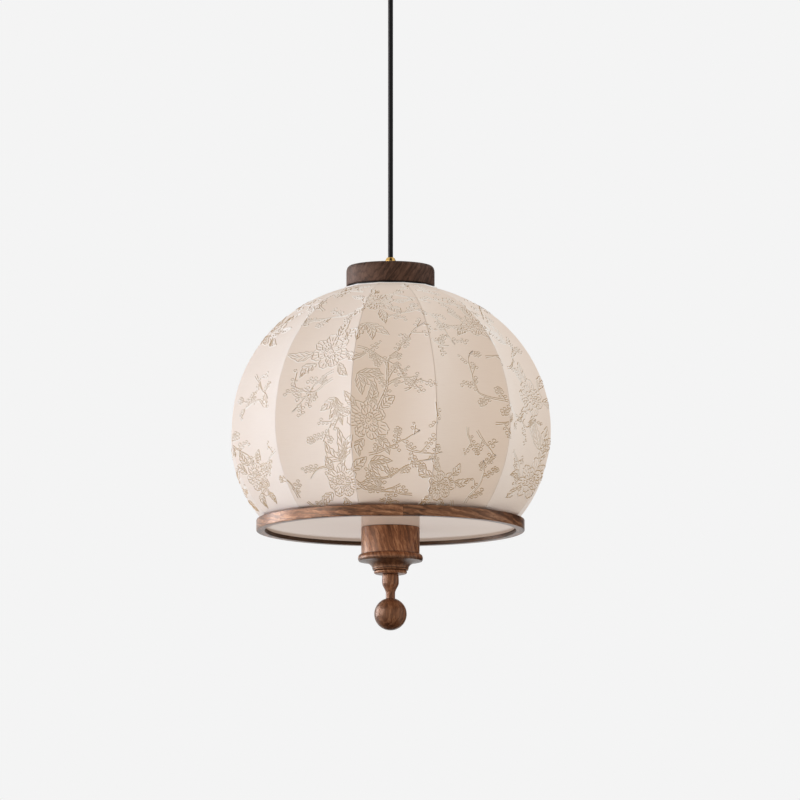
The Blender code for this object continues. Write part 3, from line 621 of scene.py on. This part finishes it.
# Places on half of the shade, in degrees and millimetres: flowers as (azimuth, run, radius, side that
# its leaves are on), sprays of leaves as (azimuth, run, heading, length), and branches as
# (azimuth, run, heading, length, bend over the whole length)
FLOWERS = ((-27, 176, 25, 15), (-9, 84, 21, -60), (-9, 270, 24, 100), (-21, 348, 22, 60),
           (42, 130, 18, 150), (20, 352, 20, 80), (66, 226, 23, 60), (70, 330, 25, 20),
           (-66, 330, 21, 90), (-74, 130, 19, 30), (88, 140, 20, -90))
SPRAYS = ((-19, 318, 100, 40), (-22, 240, 250, 34), (-13, 210, -40, 34), (-9, 322, -35, 34),
          (64, 150, 130, 46), (70, 290, 70, 40), (-12, 132, -70, 34))
BRANCHES = ((-24, 204, 190, 80, 12), (-24, 214, 212, 70, -10), (-16, 106, 205, 90, -15),
            (-15, 254, 190, 66, 15), (-24, 322, 184, 45, 20), (-43, 366, 95, 40, 25),
            (-14, 172, -4, 66, 10), (-5, 124, 30, 62, -10), (-6, 258, 70, 155, -105),
            (-3, 226, 45, 50, -40), (4, 231, 12, 32, 0), (-9, 312, 8, 76, 50),
            (5, 304, -40, 52, 75), (-12, 350, 28, 100, -80), (49, 247, 158, 125, -25),
            (24, 66, -45, 72, 55), (19, 110, -50, 64, -20), (16, 158, -50, 34, 30),
            (15, 247, -85, 30, -10), (29, 274, -95, 30, 10), (33, 278, -55, 46, -15),
            (34, 374, 90, 66, 5), (54, 190, 0, 60, 15), (49, 247, -25, 80, 50),
            (52, 298, -20, 55, -20), (-84, 56, -62, 80, 10), (-68, 196, -35, 62, -15),
            (-82, 274, -5, 74, -15), (-48, 300, 200, 50, 30), (-58, 240, 150, 60, 25),
            (84, 270, 40, 60, 30), (40, 180, 0, 24, 0), (-2, 62, 10, 62, -30),
            (4, 50, 50, 34, 20), (-22, 52, 165, 46, 25), (20, 46, 10, 40, -20),
            (-48, 60, 60, 44, 20), (8, 366, 188, 52, 14), (-6, 374, -8, 46, -10),
            (27, 372, -70, 44, 20), (-32, 366, -105, 44, 15), (-40, 372, -60, 36, 10),
            (3, 352, 200, 30, 12), (-40, 100, 130, 50, 25), (40, 268, 0, 30, 10),
            (80, 60, -120, 70, 30))


def pattern_strokes():
    """The pattern on half of the shade: flowers with leaves, and branches with buds."""
    rng = random.Random(PATTERN_SEED)
    strokes = []
    for azimuth, run, radius, heading in FLOWERS:
        azimuth, run, radius = math.radians(azimuth), run * MM, radius * MM
        strokes += laid(peony(radius, rng), azimuth, run, rng.uniform(0, 6))
        for turn in (-62, -20, 24, 66, 160, 205):
            length = rng.uniform(0.9, 1.4) * radius
            width = rng.uniform(0.42, 0.55) * radius
            shape = leaf(length, width, rng.uniform(-0.2, 0.2))
            shape = [stroke + (0.98 * radius, 0) for stroke in shape]
            strokes += laid(shape, azimuth, run, math.radians(heading + turn + rng.uniform(-9, 9)))
    for azimuth, run, heading, length in SPRAYS:
        for turn in (-38, 0, 38):
            shape = leaf(length * MM * rng.uniform(0.8, 1.1), 0.34 * length * MM, rng.uniform(-0.2, 0.2))
            strokes += laid(shape, math.radians(azimuth), run * MM, math.radians(heading + turn))
    for azimuth, run, heading, length, bend in BRANCHES:
        length = length * MM
        strokes += twig(math.radians(azimuth), run * MM, math.radians(heading), length,
                        math.radians(bend) / length, rng)
    return strokes


def resampled(stroke, spacing):
    """A stroke with even points no further apart than a spacing, and cut where it leaves the cloth."""
    wide = along_rib("radius", stroke[:, 1])
    steps = np.hypot(np.diff(stroke[:, 0]) * wide[1:], np.diff(stroke[:, 1]))
    path = np.concatenate([[0], np.cumsum(steps)])
    count = max(int(math.ceil(path[-1] / spacing)), 1) + 1
    even = np.linspace(0, path[-1], count)
    points = np.column_stack([np.interp(even, path, stroke[:, k]) for k in (0, 1)])
    kept = (points[:, 1] > LINE_START) & (points[:, 1] < RUN_END - LINE_MARGIN)
    edges = np.flatnonzero(np.diff(np.concatenate([[0], kept, [0]])))
    return [points[a:b] for a, b in zip(edges[::2], edges[1::2]) if b - a > 1]


def unit(vectors):
    """Vectors of length 1."""
    return vectors / np.maximum(np.linalg.norm(vectors, axis=1), 1e-12)[:, None]


def raised(stroke):
    """Points, faces, and which faces are tan and which pale as a painted highlight, of a thread with a
    three-sided section along a stroke.
    """
    azimuth, run = stroke[:, 0], stroke[:, 1]
    small = 0.2 * MM
    angle = small / along_rib("radius", run)
    right = unit(shade_point(azimuth + angle, run) - shade_point(azimuth - angle, run))
    down = unit(shade_point(azimuth, run + small) - shade_point(azimuth, run - small))
    normal = unit(np.cross(right, -down))
    middle = shade_point(azimuth, run)
    across = unit(np.cross(unit(np.gradient(middle, axis=0)), normal))
    half = across * LINE_WIDTH / 2
    low = middle - normal * LINE_SINK
    points = np.stack([low - half, middle + normal * LINE_HEIGHT, low + half], axis=1).reshape(-1, 3)
    # painted highlight: the long side of a thread that faces down and left is pale, and the other one keeps
    # the thread's tan
    lit = (across * (0.8 * down - 0.6 * right)).sum(1) > 0
    faces, tan_or_highlight = [(0, 1, 2)], [0]
    for i in range(len(stroke) - 1):
        a, b = 3 * i, 3 * i + 3
        faces += [(a, b, b + 1, a + 1), (a + 1, b + 1, b + 2, a + 2), (a + 2, b + 2, b, a)]
        tan_or_highlight += [0, 1, 0] if lit[i] else [1, 0, 0]
    last = 3 * len(stroke) - 3
    faces.append((last + 2, last + 1, last))
    tan_or_highlight.append(0)
    return points, faces, tan_or_highlight


def pattern():
    """Threads on each gore, the same on both halves of the shade."""
    strokes = []
    for stroke in pattern_strokes():
        for part in resampled(stroke, LINE_STEP):
            strokes += [part, part + (math.pi, 0)]
    groups = [[] for _ in range(GORES)]
    for stroke in strokes:
        home = np.round(stroke[:, 0] / (2 * HALF_GORE)).astype(int) % GORES
        cuts = np.concatenate([[0], np.flatnonzero(np.diff(home)) + 1, [len(home)]])
        for a, b in zip(cuts, cuts[1:]):
            if b - a > 1:
                groups[home[a]].append(stroke[a:b])
    for index, group in enumerate(groups):
        points, faces, tan_or_highlight, count = [], [], [], 0
        for stroke in group:
            more, around, kinds = raised(stroke)
            points.append(more)
            faces += [tuple(count + k for k in face) for face in around]
            tan_or_highlight += kinds
            count += len(more)
        mesh = bpy.data.meshes.new(f"pattern_{index + 1:02d}")
        mesh.from_pydata(np.concatenate(points).tolist(), [], faces)
        mesh.materials.append(TAN_THREAD)
        mesh.materials.append(HIGHLIGHT_THREAD)
        mesh.polygons.foreach_set("material_index", tan_or_highlight)
        piece = add_piece(mesh, TAN_THREAD, "lamp", "fabric")


# Turned pieces


def cap():
    """The turned walnut cap, with a round upper edge."""
    radius, arris = CAP_HIGH.x, 0.8 * MM
    edge = Vector((4.5, 7.5)) * MM  # rounding of the upper edge, across and down
    wall, web = radius - 10 * MM, CAP_HIGH.z - 10 * MM
    outline = [(BORE, CAP_HIGH.z)] + arc((radius - edge.x, CAP_HIGH.z - edge.y), edge, 90, 0, 12)
    outline += arc((radius - arris, CAP_LOW.z + arris), (arris, arris), 0, -90, 4)
    outline += [(wall, CAP_LOW.z), (wall, web), (BORE, web)]
    mesh = turned("cap_turned", outline)
    set_grain(mesh, (0.5, 0.2, 0.85), (0, 0.06, 0.03))
    add_piece(mesh, DARK_WALNUT, "lamp", "dark_walnut", "cap")


def shadow_gasket():
    """A black rubber ring that closes the gap between the cap and the cloth's upper edge, and stands for
    the shadow there as a painted shadow line.
    """
    inner, outer = 45.6 * MM, 52.5 * MM
    top, bottom = CAP_LOW.z - 0.1 * MM, CAP_LOW.z - 2.3 * MM
    mesh = turned("cap_shadow_gasket", [(inner, top), (outer, top), (outer, bottom), (inner, bottom)])
    add_piece(mesh, JACKET, "lamp", "cord_jacket")


def canopy():
    """The ceiling canopy, turned like the cap."""
    radius, top = CANOPY_HIGH.x, CANOPY_HIGH.z
    wall, edge, arris = 6 * MM, 4 * MM, 0.5 * MM
    inside, floor = radius - wall, CANOPY_LOW.z + wall
    outline = [(inside, top), (radius - arris, top), (radius, top - arris)]
    outline += arc((radius - edge, CANOPY_LOW.z + edge), (edge, edge), 0, -90, 10)
    outline += [(BORE, CANOPY_LOW.z), (BORE, floor), (inside, floor)]
    mesh = turned("canopy_turned", outline)
    set_grain(mesh, (0.6, -0.2, 0.75), (0.2, 0.05, 0.04))
    add_piece(mesh, DARK_WALNUT, "ceiling", "dark_walnut", "ceiling_canopy")


RING_SEGMENTS = 6
RING_STEPS = 32  # round each segment
RING_JOINT = math.radians(4.2)  # a glue line shows just right of the middle
RING_GLUE = 0.12 * MM  # half of a glue line's width
RING_TONE_AND_SHADE = (0.3, 0.25, 0.1, 0.15, 0.05, 0.1)  # of the segments, round from that glue line: each has its own tone, and the two on the right are darker as painted shade
# painted shade: the shadow on the bore's wall, and a dark line where the cloth meets the upper edge
RING_BORE_SHADE = 0.8
RING_EDGE_SHADE = 0.65
RING_GRAIN_RISE = 0.12  # of the fibres, for each metre along a segment


def walnut_ring():
    """The ring under the shade, glued from arcs whose grain runs along them."""
    radius, top, foot = RING_HIGH.x, RING_HIGH.z, RING_LOW.z
    bore, lip = radius - 10.5 * MM, radius - 24 * MM
    lip_floor = top - 5.2 * MM
    upper, lower, inner = 1.2 * MM, 1 * MM, 0.8 * MM  # roundings of the edges
    outline = [(lip, top)] + arc((radius - upper, top - upper), (upper, upper), 90, 0, 6)
    outline += arc((radius - lower, foot + lower), (lower, lower), 0, -90, 6)
    outline += arc((bore + inner, foot + inner), (inner, inner), -90, -180, 4)
    outline = held(outline + [(bore, lip_floor), (lip, lip_floor)])

    def tone_and_shade_at(r, z, segment):
        """Painted shade in the bore and on the upper edge; elsewhere each segment's own tone, with painted
        shade on the two at the right.
        """
        if r < bore + inner and z < top:
            return RING_BORE_SHADE
        if r > radius - 0.9 * upper and z > top - 0.8 * MM:
            return RING_EDGE_SHADE
        return RING_TONE_AND_SHADE[segment]

    span = 2 * math.pi / RING_SEGMENTS
    glue = RING_GLUE / radius
    bm = bmesh.new()
    grain, tone_and_shade = [], []
    for segment in range(RING_SEGMENTS):
        start = RING_JOINT + span * segment + glue
        slant = (0.05 + 0.02 * segment) * (-1) ** segment
        loops = []
        for i in range(RING_STEPS + 1):
            angle = start + (span - 2 * glue) * i / RING_STEPS
            along = radius * (angle - start)
            loops.append([bm.verts.new((r * math.sin(angle), -r * math.cos(angle), z)) for r, z in outline])
            for r, z in outline:
                # the offsets give each segment a stretch of wood of its own
                grain.append((along + 3.1 * segment, r - radius + 0.03 + slant * along,
                              z - foot + 0.04 + 0.013 * segment + RING_GRAIN_RISE * along))
                tone_and_shade.append(tone_and_shade_at(r, z, segment))
        for one, two in zip(loops, loops[1:]):
            for k in range(len(outline)):
                bm.faces.new((one[k], two[k], two[k - 1], one[k - 1]))
        bm.faces.new(loops[0])
        bm.faces.new(loops[-1])
    bm.verts.index_update()
    mesh = to_mesh("ring_glued", bm)
    set_vectors(mesh, "grain", grain)
    set_tone_and_shade(mesh, tone_and_shade)
    add_piece(mesh, RING_WALNUT, "lamp", "walnut", "walnut_ring")


def diffuser():
    """The opal acrylic disc."""
    radius, edge = DIFFUSER_HIGH.x, 0.6 * MM
    low, high = DIFFUSER_LOW.z, DIFFUSER_HIGH.z
    outline = [(BORE, high), (radius, high)] + arc((radius - edge, low + edge), (edge, edge), 0, -90, 4)
    mesh = turned("diffuser_disc", outline + [(BORE, low)])
    add_piece(mesh, ACRYLIC, "diffuser_unit", "acrylic", "diffuser")


# In millimetres, with drops from the column's head: its small beads as (radius of the middle, drop,
# rounding), and the painted shadows in its grooves and under the disc as (drop, width)
COLUMN_BEADS = ((21.3, 52.7, 1.1), (18.5, 56, 2.2))
COLUMN_GROOVE_SHADES = ((0, 0.5), (33.3, 0.45), (51.7, 0.4), (54, 0.5))


def column():
    """The turned column: drum, bead, cove, two small beads and a foot."""
    head, foot = COLUMN_HIGH.z, COLUMN_LOW.z
    drum, bead = 36.5 * MM, 40.6 * MM  # radii
    half = 5.2 * MM  # of the bead's height
    shoulder = head - 33.4 * MM  # where the bead starts
    cove, cove_centre = (17.4 * MM, 9.4 * MM), (40 * MM, head - 51.6 * MM)
    arris = 0.6 * MM
    outline = [(BORE, head)] + arc((drum - arris, head - arris), (arris, arris), 90, 0, 3)
    # a point near the bead keeps the painted shadow of its groove off the drum
    outline += [(drum, shoulder + 1 * MM)]
    outline += arc((drum, shoulder - half), (bead - drum, half), 90, -40, 16)
    outline += arc(cove_centre, cove, 92, 180, 16)
    for middle, drop, rounding in COLUMN_BEADS:
        outline += arc((middle * MM, head - drop * MM), (rounding * MM, rounding * MM), 75, -75, 8)
    outline += [(18.4 * MM, foot + 0.3 * MM), (17.8 * MM, foot), (BORE, foot)]
    mesh = turned("column_turned", outline)
    set_grain(mesh, (-0.28, 0.1, 0.95), (0.3, 0.05, 0.06))
    drop = (head - points_of(mesh)[:, 2]) / MM
    # painted shade: darker in the cove, with painted shadow lines in the grooves and where the head meets
    # the disc
    cove_shade = ((drop - 38.5) / 2).clip(0, 1) * ((54 - drop) / 8).clip(0, 1)
    tone_and_shade = 0.65 * cove_shade
    for groove, wide in COLUMN_GROOVE_SHADES:
        tone_and_shade += 0.7 * np.exp(-((drop - groove) / wide) ** 2)
    set_tone_and_shade(mesh, tone_and_shade.clip(0, 0.85))
    add_piece(mesh, WALNUT, "diffuser_unit", "walnut", "column")


def smoothstep(value):
    """Ease from 0 to 1."""
    value = min(max(value, 0.0), 1.0)
    return value * value * (3 - 2 * value)


def neck_radius(drop):
    """A barrel at the top of the finial's neck that eases into a slim waist."""
    top, waist, swell = 10 * MM, 5.8 * MM, 0.5 * MM
    barrel_run, ease_start, ease_run = 15.8 * MM, 11.1 * MM, 12.5 * MM
    barrel = swell * math.sin(math.pi * min(drop / barrel_run, 1))
    return top + barrel - (top - waist) * smoothstep((drop - ease_start) / ease_run)


def finial():
    """The turned finial: neck and ball, bored for its brass insert."""
    top, low = FINIAL_HIGH.z, FINIAL_LOW.z
    ball, neck, arris = 20.3 * MM, 29.4 * MM, 0.5 * MM
    bore, depth = 6.9 * MM, 13.3 * MM
    centre = low + ball
    join = math.degrees(math.acos(neck_radius(neck) / ball))
    outline = [(0, top - depth), (bore, top - depth), (bore, top), (neck_radius(0) - arris, top)]
    steps = 28  # down the neck
    drops = [arris + (neck - arris) * i / steps for i in range(steps)]
    outline += [(neck_radius(drop), top - drop) for drop in drops]
    outline += arc((0, centre), (ball, ball), join, -90, 30)[:-1] + [(0, low)]
    mesh = turned("finial_turned", outline, FINIAL_SIDES)
    set_grain(mesh, (0.08, 0.05, 1), (0.7, 0.02, 0.03))
    # the ball is set darker than its neck
    on_ball = points_of(mesh)[:, 2] < centre + ball - 1 * MM
    set_tone_and_shade(mesh, np.where(on_ball, 0.26, 0.05))
    add_piece(mesh, WALNUT, "finial", "walnut", "finial")


# Brass, cord and screws


def lamp_grip():
    """The small brass dome that holds the cord on the cap."""
    low, top = LAMP_GRIP_LOW.z, LAMP_GRIP_HIGH.z - 1 * MM
    foot, crown, hole = 7 * MM, 4.6 * MM, 3.5 * MM  # radii
    rise, steps = 4.4 * MM, 12  # of the dome
    stem_end = low + 7 * MM
    outline = [(BORE, low), (foot, low), (foot, low + 1.2 * MM), (foot - 0.5 * MM, low + 1.7 * MM),
               (foot, low + 2.2 * MM)]
    for share in (i / steps for i in range(steps + 1)):
        outline.append((crown + (foot - crown) * (1 - share) ** 0.7, top - rise + rise * share ** 1.1))
    outline += [(hole, top), (hole, stem_end), (BORE, stem_end)]
    mesh = turned("lamp_grip_turned", outline, SMALL_SIDES)
    add_piece(mesh, BRASS, "lamp", "brass", "lamp_grip")


def ceiling_grip():
    """The brass grip under the canopy, with a bell mouth that lets the cord swing."""
    seat, mouth, top = CANOPY_LOW.z - 0.3 * MM, CEILING_GRIP_LOW.z, CEILING_GRIP_HIGH.z
    flange, hole, shank = 9.2 * MM, 3.5 * MM, 5 * MM  # radii
    edge = 1 * MM
    bell = Vector((6.9, 5)) * MM  # radii of the flare at the mouth
    outline = [(hole, top), (shank, top), (shank, seat)]
    outline += arc((flange - edge, seat - edge), (edge, edge), 90, 0, 5)
    outline += arc((flange - edge, mouth + edge), (edge, edge), 0, -90, 5)
    outline += arc((12.4 * MM, mouth + bell.y), bell, 226, 180, 6)
    outline += [(3.8 * MM, seat - 2.4 * MM), (hole, seat - 0.7 * MM)]
    mesh = turned("ceiling_grip_turned", outline, SMALL_SIDES)
    add_piece(mesh, BRASS, "ceiling", "brass", "ceiling_grip")


def canopy_screw(number, side):
    """A brass side screw with a slotted round head."""
    low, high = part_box(f"canopy_screw_{number}")
    tip, crown = sorted((abs(low.x), abs(high.x)))
    head, shank, point = 4.2 * MM, 2 * MM, 1.6 * MM  # radii
    seat, dome = crown - 3 * MM, 2 * MM
    slot_width, slot_depth = 1.1 * MM, 1 * MM
    outline = [(0, tip), (point, tip), (shank, tip + 0.6 * MM), (shank, seat), (head, seat)]
    outline += [(head, crown - dome)] + arc((0, crown - dome), (head, dome), 15, 90, 8)[:-1] + [(0, crown)]
    mesh = turned(f"screw_turned_{number}", outline, SMALL_SIDES)
    slot = bmesh.new()
    size = Matrix.Diagonal((3 * head, slot_width, 2 * slot_depth, 1))
    bmesh.ops.create_cube(slot, size=1, matrix=Matrix.Translation((0, 0, crown)) @ size)
    place = Matrix.Translation((0, 0, (low.z + high.z) / 2)) @ Matrix.Rotation(side * math.pi / 2, 4, "Y")
    mesh.transform(place)
    blade_mesh = to_mesh(f"screw_slot_{number}", slot)
    blade_mesh.transform(place)
    obj = add_piece(mesh, BRASS, "ceiling", "brass", f"canopy_screw_{number}")
    blade = placed(blade_mesh.name, blade_mesh)
    cut = obj.modifiers.new("Slot", "BOOLEAN")
    cut.operation = "DIFFERENCE"
    cut.object = blade
    evaluated = obj.evaluated_get(bpy.context.evaluated_depsgraph_get())
    obj.data = bpy.data.meshes.new_from_object(evaluated)
    obj.modifiers.clear()
    bpy.data.objects.remove(blade)


CORD_STEPS = 24


def cord_tube(name, low, high, body, *nodes, domed=True):
    """A straight round stretch of cord, whose upper end may be a dome that turns about a hinge."""
    radius = CORD_HIGH.x
    curve = bpy.data.curves.new(name, "CURVE")
    curve.dimensions = "3D"
    curve.bevel_depth = radius
    curve.bevel_resolution = 8
    curve.use_fill_caps = True
    shoulder = high - radius if domed else high
    points = [(1, low + (shoulder - low) * i / CORD_STEPS) for i in range(CORD_STEPS + 1)]
    if domed:
        points += arc((0, shoulder), (1, radius), 10, 80, 7)
    spline = curve.splines.new("POLY")
    spline.points.add(len(points) - 1)
    for point, (share, height) in zip(spline.points, points):
        point.co = (0, 0, height, 1)
        point.radius = share
    return add_piece(curve, JACKET, body, "cord_jacket", *nodes)


def cords():
    """The taut cord, and the short stretches of it inside the ceiling grip."""
    cord_tube("cord_bend", FLEX_LOW.z, FLEX_HIGH.z, "cord_link", "cord_flex")
    cord_tube("cord_end", ANCHOR_LOW.z, ANCHOR_HIGH.z, "ceiling", "cord_anchor", domed=False)
    run = cord_tube("cord_run", CORD_LOW.z, CORD_HIGH.z, "lamp", "cord")


def inner_solids():
    """Finishes of the solids that stay as they are."""
    finishes = {"steel": STEEL, "brass": BRASS, "white_plastic": WHITE_PLASTIC,
                "bulb_plastic": BULB_PLASTIC, "cord_jacket": JACKET}
    for part in frame["record"]["subparts"]:
        obj = frame["nodes"][part["node"]]
        if obj.hide_render:
            continue
        obj.data.materials.clear()
        obj.data.materials.append(finishes[part["material_slot"]])
        edge = obj.modifiers.new("Edge", "BEVEL")
        edge.width = SOLID_EDGE
        edge.segments = 2
        edge.limit_method = "ANGLE"


# Stage


def background(tree, plain, light):
    """A shader that shows the plain background to the camera, metal and glass, and lights the rest."""
    path = node(tree, "LightPath")
    seen = path.outputs["Is Camera Ray"]
    for kind in ("Is Glossy Ray", "Is Transmission Ray"):
        seen = maths(tree, "MAXIMUM", seen, path.outputs[kind])
    return node(tree, "MixShader", {0: seen, 1: light, 2: plain}).outputs["Shader"]


def studio_world():
    """A world that lights softly from all round, a little less from below."""
    world = bpy.data.worlds.new("studio")
    world.use_nodes = True
    bpy.context.scene.world = world
    tree = world.node_tree
    tree.nodes.clear()
    direction = node(tree, "TexCoord").outputs["Generated"]
    height = node(tree, "SeparateXYZ", {0: direction}).outputs["Z"]
    below, level, above = (0.65, 0.615, 0.58), (0.72, 0.705, 0.69), (0.75, 0.735, 0.72)
    colour = ramp(tree, between(tree, height, 0, 1, -1), (0.0, below), (0.5, level), (1.0, above))
    light = node(tree, "Background", {"Color": colour, "Strength": 1.0}).outputs["Background"]
    plain = node(tree, "Background", {"Color": PALE, "Strength": 1.0}).outputs["Background"]
    node(tree, "OutputWorld", {"Surface": background(tree, plain, light)})


def rectangle(name, wide, high, level=0.0):
    """A flat rectangle that faces up."""
    x, y = wide / 2, high / 2
    mesh = bpy.data.meshes.new(name)
    corners = [(-x, -y, level), (x, -y, level), (x, y, level), (-x, y, level)]
    mesh.from_pydata(corners, [], [(0, 1, 2, 3)])
    return mesh


def lay_floor():
    """The plain pale floor."""
    material, tree, shader = principled("floor", Roughness=0.9, Base_Color=(0.80, 0.79, 0.78, 1))
    plain = node(tree, "Emission", {"Color": PALE, "Strength": 1.0}).outputs["Emission"]
    surface = background(tree, plain, shader.outputs["BSDF"])
    tree.links.new(surface, tree.nodes["Material Output"].inputs["Surface"])
    mesh = rectangle("floor", FLOOR_SIZE, FLOOR_SIZE, FLOOR_LEVEL)
    mesh.materials.append(material)
    placed("floor", mesh)


def aim(obj, target, azimuth, elevation, distance):
    """Stand an object off from a target, at angles in degrees, and turn its -Z side towards it."""
    a, e = math.radians(azimuth), math.radians(elevation)
    back = Vector((math.sin(a) * math.cos(e), -math.cos(a) * math.cos(e), math.sin(e)))
    obj.location = target + back * distance
    obj.rotation_euler = (-back).to_track_quat("-Z", "Y").to_euler()


SHADE_CENTRE = Vector((0, 0, SHADE_MIDDLE))
LIGHT_DISTANCE = 2.3

# Black cards, out of the camera's sight, as (name, azimuth, elevation, distance, size, whether only gloss
# sees it), and soft lights as (name, azimuth, elevation, size, power, colour, whether only gloss sees it)
FLAGS = (("lower_flag", 0, -90, 0.40, (0.46, 0.46), False),
         ("right_flag", 130, 0, LIGHT_DISTANCE, (2.4, 3), True),
         ("upper_flag", 8, 50, LIGHT_DISTANCE, (1.8, 2.0), True))
LIGHTS = (("left", -76, -5, (0.8, 2.4), 27, (0.49, 0.71, 1.03), False),
          ("right", 104, 15, (1.2, 2.0), 24, (0.58, 0.78, 1.0), False),
          ("front", -30, -35, (1.2, 1.2), 5.2, (1.0, 0.94, 0.86), False),
          ("left_card", -67, 10, (1.3, 1.8), 46, (1.0, 0.94, 0.96), True),
          ("rim_card", -110, 10, (1.2, 1.8), 58, (1.0, 0.94, 0.96), True))


def flags():
    """Black studio cards that keep some sides deep."""
    for name, azimuth, elevation, distance, size, gloss_only in FLAGS:
        mesh = rectangle(name, *size)
        mesh.materials.append(principled(name, Base_Color=(0.02, 0.02, 0.02, 1), Roughness=0.9)[0])
        obj = placed(name, mesh)
        aim(obj, SHADE_CENTRE, azimuth, elevation, distance)
        obj.visible_camera = False
        obj.visible_diffuse = not gloss_only


def soft_lights():
    """Large area lights: some light what is matt, and the others are only seen in what is glossy."""
    for name, azimuth, elevation, size, power, colour, gloss_only in LIGHTS:
        light = bpy.data.lights.new(name, "AREA")
        light.shape = "RECTANGLE"
        light.size, light.size_y = size
        light.energy = power
        light.color = colour
        obj = placed(name, light)
        aim(obj, SHADE_CENTRE, azimuth, elevation, LIGHT_DISTANCE)
        obj.visible_camera = False
        obj.visible_diffuse = not gloss_only
        obj.visible_glossy = gloss_only


def camera():
    """The photograph's view: far off, a little below the lamp."""
    data = bpy.data.cameras.new("camera")
    data.sensor_width = SENSOR
    data.lens = SENSOR * VIEW_DISTANCE / VIEW_WIDTH
    data.clip_end = 4 * VIEW_DISTANCE
    obj = placed("camera", data)
    aim(obj, VIEW_CENTRE, VIEW_AZIMUTH, VIEW_ELEVATION, VIEW_DISTANCE)
    bpy.context.scene.camera = obj


def main():
    """Dress the lamp from the ceiling down, then set its stage."""
    camera()
    cords()
    canopy()
    ceiling_grip()
    for number, side in ((1, -1), (2, 1)):
        canopy_screw(number, side)
    lamp_grip()
    cap()
    shadow_gasket()
    gores = [gore(index) for index in range(GORES)]
    binding()
    pattern()
    walnut_ring()
    diffuser()
    column()
    finial()
    inner_solids()
    studio_world()
    lay_floor()
    flags()
    soft_lights()
    bpy.context.scene.view_settings.view_transform = "Standard"


main()
